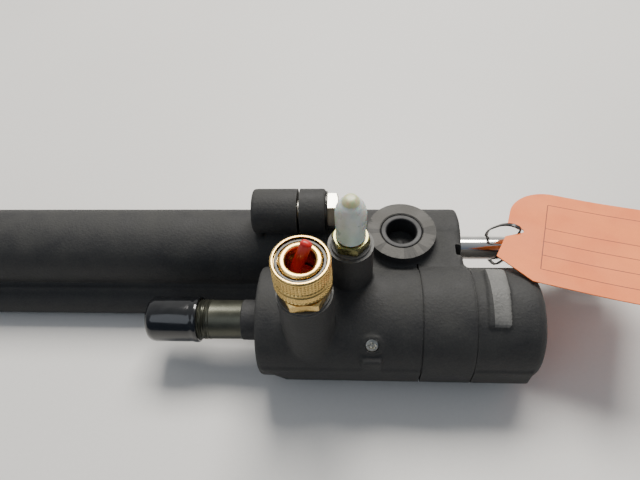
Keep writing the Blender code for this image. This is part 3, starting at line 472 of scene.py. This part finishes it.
NUB = surface("yellowed_plastic", (0.52, 0.56, 0.30), (0.66, 0.68, 0.42), (0.26, 0.38), patch=260.0,
              height=0.03, Subsurface_Weight=0.4, Subsurface_Scale=0.003)
CARD = printed_card()
NYLON = surface("black_nylon", (0.010, 0.010, 0.011), (0.020, 0.020, 0.022), (0.30, 0.42), height=0.02)
SLOT_FINISH = {
    "cast_black": CAST, "zinc_steel": STEEL, "chrome": CHROME, "dark_steel": DARK, "brass": BRASS,
    "bronze": BRONZE, "rubber": RUBBER, "gasket_sheet": GASKET, "aluminium": ALUMINIUM, "black_vinyl": VINYL,
    "red_plastic": RED, "white_plastic": WHITE, "orange_card": CARD, "black_nylon": NYLON,
}


# ---------------------------------------------------------------- castings
def swung(bm, angle):
    """Swings a shape drawn along +Y about the cylinder's axis."""
    bmesh.ops.transform(bm, matrix=Matrix.Rotation(angle, 4, "X"), verts=bm.verts)
    return bm


def lug_webs(low, high, half):
    """Flat webs that tie the two bolt lugs to the castings' round middle."""
    made = []
    for at in LUGS:
        reach = math.hypot(at.y, at.z)
        made.append(swung(block((low, 0, -half), (high, reach - 2.7, half), 1.2), math.atan2(at.z, at.y)))
    return made


def on_lugs(radius, low, high, edge=0.0):
    return [rod(radius, low, high, (0, at.y, at.z), "X", edge) for at in LUGS]


def build_barrel():
    gallery = (0, GALLERY.y, GALLERY.z)
    left, over = BARREL_LEFT, BARREL_FACE + 4
    body = turned([(0, over), (27.5, over), (27.5, -17.6, 0.8), (26.4, -18.7), (BARREL_R, -18.7),
                   (BARREL_R, left, 6.0), (0, left)], (0, 0, 0), "X")
    shapes = [
        body,
        rod(10.0, left + 6, over, gallery, "X", 2.0),
        block((left + 9, -26, -22), (over, -2, -8), 1.0),
        *on_lugs(LUG_R, -35.4, over, 1.6),
        *lug_webs(-18.6, over, 10.5),
        *lug_webs(-35.0, -31.0, 9.5),
    ]
    barrel = cast("barrel_casting", shapes)
    return carve(barrel, [
        block((BARREL_FACE, -70, -70), (BARREL_FACE + 20, 70, 80)),
        turned([(0, 0), (18.3, 0), (18.3, BARREL_FACE - 0.4), (17.5, BARREL_FACE - 1.2), (17.5, -245),
                (0, -245)], axis="X"),
        rod(GALLERY_BORE_R, left - 5, 0, gallery, "X", steps=48),
        rod(5.6, left - 5, left + 18, gallery, "X", steps=48),
        rod(2.6, -22, -4, (-223, -14, 0), steps=32),
        *on_lugs(BOLT_HOLE_R, -60, 0),
    ])


def build_pad():
    """Raised marking pad that follows the valve's round top near its end."""
    pad = piece("tool_pad", turned([(VALVE_R + 1.6, 5.4, 0.5), (VALVE_R + 1.6, -5.4, 0.5),
                                    (VALVE_R - 2.5, -5.4), (VALVE_R - 2.5, 5.4)],
                                   (PAD_X, VALVE_Y, 0), closed=True, axis="X"))
    lean = Matrix.Translation((PAD_X, 0, 0)) @ Matrix.Rotation(math.radians(-3), 4, "Z")
    pad.data.transform(lean @ Matrix.Translation((-PAD_X, 0, 0)))
    carve(pad, [block((84, -66.5, 15), (108, -32, 40), 1.0)], "INTERSECT")
    return loosen(pad)


def facing_front(bm):
    """Turns a Z-aligned shape at the origin to point out of the valve's upper front."""
    return put(bm, SCREW_AT, spin=Matrix.Rotation(SCREW_LEAN, 4, "X"))


def build_housing():
    valve = (0, VALVE_Y, 0)
    shapes = [
        turned([(0, VALVE_RIGHT), (VALVE_R, VALVE_RIGHT, 9.0), (VALVE_R, VALVE_LEFT, 2.6), (0, VALVE_LEFT)],
               valve, "X", steps=128),
        rod(VALVE_R + 1.1, 55.4, 81.65, valve, "X", 0.7, 128),
        rod(BARREL_R, SPLIT - 4, 81.0, (0, 0, 0), "X", 2.4),
        block((SPLIT - 4, VALVE_Y, -21), (80.4, 8.5, 22.4), 2.6),
        block((SPLIT - 4, -35.5, REST_Z + 0.9), (79.7, -14, -12), 3.0),
        rod(19.0, REST_Z, PIVOT_FACE + 2, (*PIVOT, 0), edge=0.6),
        rod(13.3, -4, PORT_TOP + 2, (*COUPLER, 0)),
        rod(11.35, -6, PORT_TOP + 2, (*RETURN, 0)),
        block((VALVE_LEFT + 0.6, -65.5, REST_Z), (112, -34, -21), 1.0),
        rib(),
        # pillar under the security screw
        block((24.5, VALVE_Y - VALVE_R - 0.9, -11), (35.1, -62, 13), 1.5),
        build_pad(),
        facing_front(rod(5.6, -8, 3.3, edge=0.5)),
        *on_lugs(LUG_R, SPLIT - 4, LUG_RIGHT + 0.4, 1.2),
        *lug_webs(SPLIT - 4, 3.3, 10.5),
    ]
    housing = cast("valve_casting", shapes)
    carve(housing, [
        # machined faces
        rod(19.6, PIVOT_FACE, PIVOT_FACE + 9, (*PIVOT, 0)),
        rod(15.0, PORT_TOP, PORT_TOP + 9, (*COUPLER, 0)),
        rod(12.6, PORT_TOP, PORT_TOP + 9, (*RETURN, 0)),
        block((VALVE_LEFT - 20, -8.3, -60), (SPLIT, 60, 70)),
        rod(29.0, VALVE_LEFT - 8, SPLIT, (0, 0, 0), "X"),
        rod(10.8, VALVE_LEFT - 8, SPLIT, (0, GALLERY.y, GALLERY.z), "X"),
        *on_lugs(LUG_R + 3, SPLIT - 12, SPLIT),
        *on_lugs(11.4, LUG_RIGHT, LUG_RIGHT + 9),
        block((76.5, -20.8, 9), (92, -13.6, 32), 1.0),
        # seams at both sides of the raised band
        ring(VALVE_R + 2.4, VALVE_R - 0.25, 54.7, 55.5, valve, "X", 0.1),
        ring(VALVE_R + 2.4, VALVE_R + 0.1, 81.5, 82.1, valve, "X", 0.1),
        # valve bores
        turned([(0, 20), (11.4, 20), (11.4, VALVE_LEFT + 0.8), (12.2, VALVE_LEFT), (12.2, -50), (0, -50)],
               valve, "X"),
        rod(14.3, -20, -14, valve, "X"),
        turned([(0, 140), (17.8, 140), (17.8, VALVE_RIGHT - 1), (17.0, VALVE_RIGHT - 1.8), (17.0, 6),
                (0, 6)], valve, "X"),
        rod(18.2, 112.6, 114.2, valve, "X"),
        # rod bore and gland seat
        rod(7.95, -30, 60, (0, 0, 0), "X"),
        turned([(0, 99), (15.1, 99), (15.1, 80.6), (14.3, 79.8), (14.3, 55), (0, 55)], axis="X"),
        rod(15.5, 77.0, 78.4, (0, 0, 0), "X"),
        rod(GALLERY_BORE_R, -30, 40, (0, GALLERY.y, GALLERY.z), "X", steps=48),
        # ports, pivot seats, bolt and screw holes
        turned([(0, 70), (7.3, 70), (7.3, PORT_TOP), (6.5, PORT_TOP - 0.8), (6.5, -4), (0, -4)],
               (*COUPLER, 0)),
        turned([(0, 70), (6.0, 70), (6.0, PORT_TOP), (5.2, PORT_TOP - 0.8), (5.2, 8), (0, 8)],
               (*RETURN, 0)),
        turned([(0, 40), (12.2, 40), (12.2, PIVOT_FACE), (11.6, PIVOT_FACE - 0.6), (11.6, 17), (2.6, 17),
                (1.4, 18), (0, 18.3)], (*PIVOT, 0)),
        turned([(0, -40), (12.2, -40), (12.2, REST_Z), (11.6, REST_Z + 0.6), (11.6, REST_Z + 12),
                (0, REST_Z + 12)], (*PIVOT, 0)),
        *on_lugs(BOLT_HOLE_R, -40, 30),
        facing_front(rod(3.6, -9, 9)),
    ])
    return housing


def rib():
    """Side rib along the valve's front, with its free lower corner cut away."""
    bm = block((VALVE_LEFT + 2.6, VALVE_Y - VALVE_R - 0.8, -11), (112, -68, 3))
    corner = [e for e in bm.edges if all(v.co.x < 0 and v.co.z < 0 for v in e.verts)]
    bmesh.ops.bevel(bm, geom=corner, offset=12.0, segments=1, affect="EDGES")
    return bm


def build_castings():
    settle(build_barrel(), "housing", ["cylinder_barrel"], "cast_black", CAST)
    housing = build_housing()
    valve = Vector((VALVE_Y, 0))

    def on_pad(at, normal):
        return 89.5 < at.x < 102.0 and at.z > 8 and (at.yz - valve).length > VALVE_R + 1.0

    def on_machined(at, normal):
        return abs(at.z - PORT_TOP) < 0.02 and normal.z > 0.95

    paint_faces(housing, 1, on_machined)
    paint_faces(housing, 1, on_pad)
    settle(housing, "housing", ["valve_housing"], "cast_black", CAST, PAD)


# ---------------------------------------------------------------- fasteners and fixed rings
def build_fixed():
    for k, side in enumerate(("top", "rear")):
        at = (0, LUGS[k].y, LUGS[k].z)
        washer = ring(11.2, BOLT_HOLE_R, LUG_RIGHT + 0.3, LUG_RIGHT + 1.3, at, "X", 0.25)
        settle(piece(f"washer_{side}", washer), "housing", [f"flange_washer_{side}"], "zinc_steel", DARK)
        low = LUG_RIGHT + 1.6
        high = low + 5.8
        bolt = piece(f"bolt_{side}", hexagon(10.4, low, high, at, "X", turn=math.radians(30)))
        carve(bolt, [turned([(0, high), (8.4, high, 0.3), (10.5, high - 1.25), (10.5, low + 0.4),
                             (10.1, low), (0, low)], at, "X")], "INTERSECT")
        carve(bolt, [rod(6.0, -32.4, low + 1, at, "X", 0.8)], "UNION")
        settle(bolt, "housing", [f"flange_bolt_{side}"], "zinc_steel", STEEL)
    for side, low, high in (("top", 17.3, 28.6), ("bottom", REST_Z + 0.4, REST_Z + 11.7)):
        bush = turned([(11.3, high, 0.7), (11.3, low, 0.3), (8.3, low, 0.3), (8.3, high, 1.0)], (*PIVOT, 0),
                      closed=True)
        settle(piece(f"pivot_bush_{side}", bush), "housing", [f"pivot_bushing_{side}"], "rubber", RUBBER)
    build_screw()
    build_end_cap()
    build_gland()
    plug = piece("gallery_plug_screw", rod(5.3, BARREL_LEFT + 6.5, BARREL_LEFT + 17,
                                           (0, GALLERY.y, GALLERY.z), "X", 0.5, 48))
    carve(plug, [hexagon(2.9, BARREL_LEFT, BARREL_LEFT + 11, (0, GALLERY.y, GALLERY.z), "X")])
    settle(plug, "housing", ["gallery_plug"], "zinc_steel", STEEL)


def build_screw():
    """Security screw with a six-pointed socket round a pin."""
    screw = piece("security_screw", facing_front(rod(3.4, -8.5, 2.7, edge=0.5, steps=48)))

    def star(angle, height, radius):
        return 0.35 * math.cos(6 * angle) if radius > 1 else 0.0

    carve(screw, [facing_front(turned([(1.95, 5), (1.95, 1.1), (0.6, 1.1), (0.6, 5)], closed=True,
                                      steps=72, wave=star))])
    settle(screw, "housing", ["locating_screw"], "zinc_steel", STEEL)


def build_end_cap():
    at = (0, VALVE_Y, 0)
    cap = piece("end_cap", turned([(0, 112.2), (6.5, 112.2, 0.4), (7.0, 110.6, 0.4), (15.9, 110.6, 0.8),
                                   (16.7, 109.6, 0.4), (16.7, 106.5), (14.3, 106.5), (14.3, 103.0),
                                   (16.7, 103.0), (16.7, 100.0, 0.4), (14.0, 100.0), (14.0, 104.0),
                                   (0, 104.0)], at, "X"))
    carve(cap, [hexagon(4.0, 108.5, 115.0, at, "X")])
    settle(cap, "housing", ["housing_end_cap"], "aluminium", ALUMINIUM)
    circlip = piece("end_circlip", ring(17.9, 14.4, 113.0, 113.9, at, "X"))
    carve(circlip, [block((112, VALVE_Y - 4, -20), (115, VALVE_Y + 4, -11))])
    settle(circlip, "housing", ["end_cap_retaining_ring"], "dark_steel", DARK)


def build_gland():
    gland = turned([(14.0, 76.6, 0.8), (14.0, 64.0), (12.4, 64.0), (12.4, 61.0), (14.0, 61.0),
                    (14.0, 55.3, 0.6), (7.35, 55.3), (7.35, 60.0), (10.55, 60.0), (10.55, 65.0),
                    (7.35, 65.0), (7.35, 71.5), (10.55, 71.5), (10.55, 76.6, 0.4)], axis="X", closed=True)
    settle(piece("gland", gland), "housing", ["rod_gland"], "aluminium", ALUMINIUM)
    wiper = turned([(8.25, 78.6, 0.3), (9.55, 76.4, 0.3), (10.25, 76.2, 0.2), (10.25, 71.9), (7.35, 71.9),
                    (7.35, 78.6)], axis="X", closed=True)
    settle(piece("wiper", wiper), "housing", ["rod_wiper"], "rubber", RUBBER)
    circlip = piece("gland_circlip", ring(15.2, 10.8, 77.3, 78.1, (0, 0, 0), "X"))
    carve(circlip, [block((76, -3, -17), (80, 3, -7.8))])
    settle(circlip, "housing", ["gland_retaining_ring"], "dark_steel", DARK)


# ---------------------------------------------------------------- coupler and its plug
def knurl(depth, count, pitch, bands):
    """Diamond knurling in bands of height, as what to add to a radius."""
    def saw(t):
        return 1 - abs((t % 1.0) * 2 - 1)

    def wave(angle, height, radius):
        if radius < GRIP_R - 0.2 or not any(low < height < high for low, high in bands):
            return 0.0
        around = count * angle / (2 * math.pi)
        rise = height / pitch
        return -depth * (1 - min(saw(around + rise), saw(around - rise)))
    return wave


def hex_base(name, radius, bore, low, high, at, turn):
    """A hexagon with chamfered corners and a plain hole."""
    made = piece(name, hexagon(radius, low, high, at, turn=turn))
    flats = radius * math.cos(math.pi / 6)
    carve(made, [turned([(0, high), (flats + 0.3, high, 0.3), (radius + 0.1, high - 0.9),
                         (radius + 0.1, low + 0.7), (flats + 0.5, low), (0, low)], at)], "INTERSECT")
    return carve(made, [rod(bore, low - 3, high + 3, at)])


def build_coupler():
    at = (*COUPLER, 0)
    base = PORT_SEAT
    settle(piece("coupler_washer", ring(12.4, 6.5, PORT_TOP + 0.3, PORT_TOP + 1.3, at, edge=0.3)), "housing",
           ["pressure_port_washer"], "aluminium", DULL)
    body = hex_base("coupler_socket", 13.0, 8.6, base, base + 5.2, at, math.radians(4))
    stem = turned([(9.6, COUPLER_TOP, 1.3), (9.6, base + 9.6), (11.0, base + 9.6, 0.5), (11.0, base + 0.4),
                   (6.1, base + 0.4), (6.1, PORT_TOP - 12), (4.2, PORT_TOP - 12), (4.2, base + 3),
                   (6.5, base + 5), (6.5, COUPLER_TOP, 1.2)], at, closed=True)
    carve(body, [stem], "UNION")
    holes = []
    for k in range(6):
        swing = Matrix.Rotation(math.radians(60 * k + 15), 4, "Z") @ TURN["X"]
        holes.append(put(rod(1.7, 5, 12, steps=24), (*COUPLER, COUPLER_TOP - 5.2), spin=swing))
    carve(body, holes)
    settle(body, "housing", ["coupler_body"], "brass", BRASS)
    settle(piece("snap_ring", ring(11.1, 9.9, COUPLER_TOP - 1.7, COUPLER_TOP - 0.9, at)), "housing",
           ["sleeve_stop_ring"], "zinc_steel", DARK)
    build_sleeve(at)
    build_plug()


def build_sleeve(at):
    top, base, step = COUPLER_TOP + 0.1, PORT_TOP + 10.2, PORT_TOP + 20.8
    bands = ((top - 9.0, top - 0.9), (base + 1.0, top - 11.5))
    profile = [(11.5, top, 0.25), (12.5, top, 0.35), (GRIP_R, top - 0.7)]
    profile += [(GRIP_R, top - 0.9 - GRIP_ROW * k) for k in range(28)]
    profile += [(GRIP_R, top - 9.2), (12.4, top - 9.8), (12.4, top - 10.8), (GRIP_R, top - 11.4)]
    profile += [(GRIP_R, top - 11.5 - GRIP_ROW * k) for k in range(14)]
    profile += [(GRIP_R, base + 0.8), (12.5, base, 0.2), (11.25, base), (11.25, step), (9.95, step),
                (9.95, top - 2.4), (11.5, top - 2.0)]
    sleeve = turned(profile, at, closed=True, steps=300, wave=knurl(0.62, 50, 1.5, bands))
    settle(piece("coupler_collar", sleeve), "coupler_sleeve", ["coupler_sleeve"], "brass", BRASS, sharp=50.0)


def build_plug():
    """Soft plug deep in the coupler, with a slanted pull tab that stands out over the rim."""
    low, rim = PORT_TOP + 8.0, COUPLER_TOP - 3.5
    plug = piece("plug_cup", turned([(0, low + 5), (4.6, low + 5, 0.6), (5.0, low + 6.6, 0.5),
                                     (6.1, low + 6.0, 0.6), (6.1, low + 2.0), (4.9, low, 0.5),
                                     (0, low)], (*COUPLER, 0)))
    tab = block((-2.6, -2.0, -13.5), (2.6, 2.0, 9.0), 1.8, 4)
    lean = (Matrix.Rotation(math.radians(-20), 4, "Z") @ Matrix.Rotation(math.radians(16), 4, "Y")
            @ Matrix.Rotation(math.radians(-12), 4, "X"))
    carve(plug, [put(tab, (COUPLER.x + 0.6, COUPLER.y + 1.0, rim + 4.6), spin=lean)], "UNION")
    settle(plug, "red_plug", ["red_plug"], "red_plastic", RED)


# ---------------------------------------------------------------- return port
def build_return():
    at = (*RETURN, 0)
    base = PORT_SEAT
    settle(piece("return_washer", ring(9.8, 5.3, PORT_TOP + 0.3, PORT_TOP + 1.3, at, edge=0.3)), "housing",
           ["return_port_washer"], "aluminium", PAD)
    fitting = hex_base("return_hex", 9.4, 6.2, base, base + 5.0, at, math.radians(50))
    stem = turned([(6.4, base + 7, 0.5), (6.4, base + 4.6), (7.9, base + 4.6, 0.2), (7.9, base + 0.2),
                   (4.9, base + 0.2), (4.9, PORT_TOP - 12), (3.0, PORT_TOP - 12), (3.0, base + 7, 0.4)],
                  at, closed=True)
    carve(fitting, [stem], "UNION")
    settle(fitting, "housing", ["return_fitting"], "zinc_steel", OLIVE)
    low = PORT_TOP + 7.2
    cap = turned([(0, 90.4), (2.4, 90.3, 0.9), (3.7, 88.6, 0.7), (4.2, 87.2, 0.5), (5.7, 85.6, 0.8),
                  (6.8, 83.2, 1.0), (7.35, 80.4, 1.2), (7.4, 77, 1.2), (7.0, low + 1.4, 0.6),
                  (7.25, low + 0.7, 0.3), (7.2, low, 0.2), (6.6, low, 0.2), (6.6, 76.6, 1.0),
                  (6.3, 80, 1.0), (5.4, 82.8, 1.0), (3.6, 85.2, 1.0), (0, 86.6)], at)
    cap = piece("port_cap", cap)
    paint_faces(cap, 1, lambda at, normal: at.z > 87.4 and (at.xy - RETURN).length < 5)
    settle(cap, "white_cap", ["white_cap"], "white_plastic", WHITE, NUB)


# ---------------------------------------------------------------- rod and clevis
def thread(low, high, pitch, depth):
    """A screw thread between two heights, as what to add to a radius."""
    def wave(angle, height, radius):
        if not low < height < high:
            return 0.0
        rise = (height / pitch - angle / (2 * math.pi)) % 1.0
        return -depth * (1 - abs(rise * 2 - 1))
    return wave


def threaded(radius, low, high, step):
    """Profile points close enough together to carry a thread, from high to low."""
    count = int((high - low) / step)
    return [(radius, high - (high - low) * k / count) for k in range(1, count)]


def build_rod():
    end = [(0, 150), (5.2, 150, 0.3), (6.0, 149.2)]
    profile = end + threaded(6.0, 127.4, 149, 0.3) + [
        (6.0, 127, 0.2), (ROD_R, 126, 0.4), (ROD_R, -223, 0.3), (5.0, -223.4), (5.0, -240.4, 0.3),
        (4.4, -241), (0, -241)]
    bar = turned(profile, axis="X", wave=thread(127.4, 149, 1.5, 0.55))
    settle(piece("rod_bar", bar), "rod", ["piston_rod"], "chrome", CHROME)
    r = 13.6
    fork = piece("rod_fork", turned([(0, 178), (r - 4, 178, 1.0), (r - 1.2, 176.6, 1.2), (r, 173.5, 1.5),
                                     (r, 146, 2.5), (r - 3.4, 140, 1.0), (r - 4.2, 138, 0.4), (0, 138)],
                                    axis="X"))
    slot = piece("tool_slot", block((157, -5, -20), (190, 5, 20)))
    carve(slot, [rod(4.999, -20, 20, (158, 0, 0))], "UNION")
    carve(fork, [
        loosen(slot),
        turned([(0, 20), (7.2, 20), (7.2, 14.4), (6.4, 12.0), (6.4, -12.0), (7.2, -14.4), (7.2, -20),
                (0, -20)], (166, 0, 0), "Y"),
        rod(6.3, 130, 151, axis="X"),
    ])
    settle(fork, "rod", ["clevis"], "dark_steel", DARK)
    nut = piece("fork_nut", hexagon(10.6, 130.5, 137.7, (0, 0, 0), "X"))
    carve(nut, [turned([(0, 137.7), (9.3, 137.7, 0.3), (10.7, 136.8), (10.7, 131.4), (9.3, 130.5),
                        (0, 130.5)], axis="X")], "INTERSECT")
    carve(nut, [rod(6.3, 120, 145, axis="X")])
    settle(nut, "rod", ["clevis_lock_nut"], "zinc_steel", STEEL)


# ---------------------------------------------------------------- guide tube
def build_tube():
    at = (0, VALVE_Y, 0)
    r, bore = TUBE_R, TUBE_BORE_R
    profile = [(r - 1.0, -84, 0.2), (r, -83.2)]
    profile += [(q, -h) for q, h in threaded(r, 58.9, 82.8, 0.32)]
    profile += [(r, -58.6), (r - 0.35, -58.2, 0.2), (r - 0.35, -40.6, 0.2), (r, -40.2, 0.2), (r, 9.0, 0.3),
                (10.2, 10.0, 0.3), (10.2, 98.0, 0.3), (bore, 98.0, 0.3), (bore, -84, 0.3)]
    tube = piece("cable_tube", turned(profile, at, "X", closed=True, wave=tube_thread))
    paint_faces(tube, 1, lambda at, normal: at.x > -40.5)
    settle(tube, "guide_tube", ["guide_tube"], "dark_steel", TUBE, CAST)
    out, inner = 13.0, 11.4
    cap = turned([(0, -91.6), (inner - 1, -91.6, 0.8), (inner, -90.6, 0.4), (inner, -64.7, 0.2),
                  (out - 0.3, -64.7, 0.6), (out, -66.4, 0.7), (out - 0.55, -68.6, 0.7),
                  (out - 0.45, -71, 1.0), (out - 0.35, -94, 5.0), (0, -94)], at, "X")
    settle(piece("vinyl_cap", cap), "tube_cap", ["tube_cap"], "black_vinyl", VINYL)


def tube_thread(angle, height, radius):
    """The guide tube's outside thread, which its bore is free of."""
    return thread(-82.8, -58.9, 1.4, 0.7)(angle, height, radius) if radius > 9 else 0.0


# ---------------------------------------------------------------- tag and tie
def tag_frame():
    """Origin at the tag's hole, and unit directions along, across and out of the card."""
    normal = Vector((0.0, math.sin(TAG_TILT), math.cos(TAG_TILT)))
    down = Vector((0.0, -math.cos(TAG_TILT), math.sin(TAG_TILT)))
    lift = VALVE_Y * normal.y + VALVE_R + 0.3 + TAG_T / 2
    origin = Vector((TAG_HOLE[0], 0.0, 0.0)) + down * TAG_HOLE[1] + normal * lift
    along = Vector((math.cos(TAG_TURN), 0.0, 0.0)) - down * math.sin(TAG_TURN)
    return origin, along, normal


def build_tag():
    """Thin card with one clipped and one rounded corner, slit from its end to the tie hole."""
    origin, along, normal = tag_frame()
    across = normal.cross(along)
    w, end, corner = TAG_HALF_W, TAG_END, TAG_CORNER
    cx, cy = end + corner, w - corner
    arc = [(cx - corner * math.sin(a), cy + corner * math.cos(a))
           for a in (math.pi / 2 * k / 16 for k in range(17))]
    outline = [(TAG_LENGTH, w), *arc, (end, 3.0), (1.2, 1.6), (1.9, 1.0), (2.2, 0.0), (1.9, -1.0),
               (1.2, -1.6), (end, -7.0), (end - 2.5, -w + 13.0), (10.0, -w), (TAG_LENGTH, -w)]
    bm = bmesh.new()
    bm.faces.new([bm.verts.new((l, s, 0.0)) for l, s in outline])
    for axis, low, high in (((1, 0, 0), end, TAG_LENGTH), ((0, 1, 0), -w, w)):
        for k in range(1, 24):
            spot = low + (high - low) * k / 24
            bmesh.ops.bisect_plane(bm, geom=[*bm.verts, *bm.edges, *bm.faces],
                                   plane_co=Vector(axis) * spot, plane_no=Vector(axis))
    uv = bm.loops.layers.uv.new("card")
    for face in bm.faces:
        for loop in face.loops:
            loop[uv].uv = loop.vert.co.xy
    for vert in bm.verts:
        # the far corners of the card curl up a little, and it is never quite flat
        l, s = vert.co.xy
        far = max(0.0, l - 30.0) / 46.0
        waves = 0.25 * noise.noise(Vector((l * 0.04, s * 0.05, 3.0)))
        vert.co.z = 1.6 * far * far + 0.5 * max(0.0, abs(s) - 20.0) / 17.0 + waves
    bmesh.ops.recalc_face_normals(bm, faces=bm.faces)
    matrix = Matrix((along, across, normal)).transposed().to_4x4()
    bmesh.ops.transform(bm, matrix=Matrix.Translation(origin) @ matrix, verts=bm.verts)
    card = piece("card_tag", bm)
    thick = card.modifiers.new("thickness", "SOLIDIFY")
    thick.thickness = 0.55
    thick.offset = 0.0
    bake(card)
    settle(card, "tag", ["shipping_tag"], "orange_card", CARD)


def smooth_loop(points, parts):
    """Catmull-Rom points on a closed loop."""
    count = len(points)
    made = []
    for k in range(count):
        p0, p1, p2, p3 = (Vector(points[(k + j) % count]) for j in (-1, 0, 1, 2))
        for part in range(parts):
            t = part / parts
            made.append(0.5 * (2 * p1 + (p2 - p0) * t + (2 * p0 - 5 * p1 + 4 * p2 - p3) * t * t
                               + (3 * p1 - p0 - 3 * p2 + p3) * t ** 3))
    return made


def build_tie():
    """Flat nylon strap in a closed loop round the rod and through the tag's hole."""
    x, y, z = tag_frame()[0]
    points = smooth_loop([
        (x, y, z + 1.2), (x - 1.5, y - 0.2, z + 3.2), (x - 5.0, y + 1.5, z + 3.4),
        (x - 8.5, y + 5.0, z - 1.0), (101.9, 4.6, 13.5), (101.4, 8.2, 6.5), (101.4, 9.6, 0.0),
        (102.0, 7.0, -6.8), (103.0, 0.0, -9.8), (105.0, -7.0, -6.8), (107.2, -9.7, 0.0),
        (109.6, -10.0, 8.0), (x - 1.2, y - 1.4, 15.0), (x - 0.2, y - 0.4, z - 3.0)], 8)
    inside = sum(points, Vector()) / len(points)
    section = [(1.05, 0.3), (0.8, 0.5), (-0.8, 0.5), (-1.05, 0.3), (-1.05, -0.3), (-0.8, -0.5), (0.8, -0.5),
               (1.05, -0.3)]
    bm = bmesh.new()
    rings = []
    for k, here in enumerate(points):
        ahead = (points[(k + 1) % len(points)] - points[k - 1]).normalized()
        out = here - inside
        out = (out - ahead * out.dot(ahead)).normalized()
        side = ahead.cross(out)
        rings.append([bm.verts.new(here + side * a + out * b) for a, b in section])
    for a, b in zip(rings, rings[1:] + rings[:1]):
        for k in range(len(section)):
            j = (k + 1) % len(section)
            bm.faces.new((a[k], a[j], b[j], b[k]))
    bmesh.ops.recalc_face_normals(bm, faces=bm.faces)
    settle(piece("nylon_tie", bm), "tag", ["tag_tie"], "black_nylon", NYLON)


# ---------------------------------------------------------------- carried-over nodes
def dress_frame():
    """Gives each CAD node that still shows the finish of its own slot."""
    slot_of = {part["node"]: part["material_slot"] for part in frame["record"]["subparts"]}
    for name, obj in frame["nodes"].items():
        finish = SLOT_FINISH[slot_of[name]]
        obj.data.materials.clear()
        obj.data.materials.append(finish)


# ---------------------------------------------------------------- stage
# name, place, size, power in watts and colour, in metres
LAMPS = (
    ("key", (0.15, 1.0, 1.5), (1.1, 0.7), 54.0, (1.0, 0.965, 0.91)),
    ("fill", (-0.5, -0.7, 1.2), (0.9, 0.9), 3.0, (0.86, 0.92, 1.0)),
)


def build_stage():
    """A wide pale floor, a sky that is bright behind and dim in front, and two soft lamps."""
    bm = bmesh.new()
    bmesh.ops.create_grid(bm, x_segments=1, y_segments=1, size=3000.0)
    floor = piece("floor", bm)
    floor.data.transform(Matrix.Translation((0, 0, -0.0002)) @ Matrix.Scale(MM, 4))
    floor.data.materials.append(surface("pale_floor", (0.70, 0.685, 0.655), (0.74, 0.725, 0.695),
                                        (0.42, 0.52), patch=3.0, grain=420.0, height=0.02))
    world = bpy.data.worlds.new("studio")
    world.use_nodes = True
    nodes, links = world.node_tree.nodes, world.node_tree.links
    split = nodes.new("ShaderNodeSeparateXYZ")
    links.new(nodes.new("ShaderNodeTexCoord").outputs["Generated"], split.inputs[0])
    towards_back = ramp(nodes, links, split.outputs["Y"], -0.75, 0.9)
    tone = blend(nodes, links, towards_back, (0.16, 0.20, 0.27), (0.98, 0.98, 0.96))
    links.new(tone, nodes["Background"].inputs["Color"])
    nodes["Background"].inputs["Strength"].default_value = 0.62
    bpy.context.scene.world = world
    for name, at, size, power, colour in LAMPS:
        light = bpy.data.lights.new(name, "AREA")
        light.shape = "RECTANGLE"
        light.size, light.size_y = size
        light.energy = power
        light.color = colour
        lamp = bpy.data.objects.new(name, light)
        lamp.location = at
        lamp.rotation_euler = (Vector((0.03, 0.0, 0.0)) - Vector(at)).to_track_quat("-Z", "Y").to_euler()
        bpy.context.scene.collection.objects.link(lamp)


def build_camera():
    """A camera above the front, looking down at about 53 degrees."""
    data = bpy.data.cameras.new("camera")
    data.lens = 30.4
    data.sensor_width = 36.0
    data.clip_start, data.clip_end = 0.01, 20.0
    camera = bpy.data.objects.new("camera", data)
    eye = Vector((19.594, -191.648, 267.678))
    ahead = (Vector((0.02, 5.43, 0.0)) - eye).normalized()
    up = Vector((-0.002735, 0.805188, 0.593013))
    right = ahead.cross(up).normalized()
    up = right.cross(ahead)
    turn = Matrix((right, up, -ahead)).transposed().to_4x4()
    camera.matrix_world = Matrix.Translation(ORIGIN + eye * MM) @ turn
    bpy.context.scene.collection.objects.link(camera)
    bpy.context.scene.camera = camera


build_camera()
build_stage()
dress_frame()
build_castings()
build_fixed()
build_coupler()
build_return()
build_rod()
build_tube()
build_tag()
build_tie()
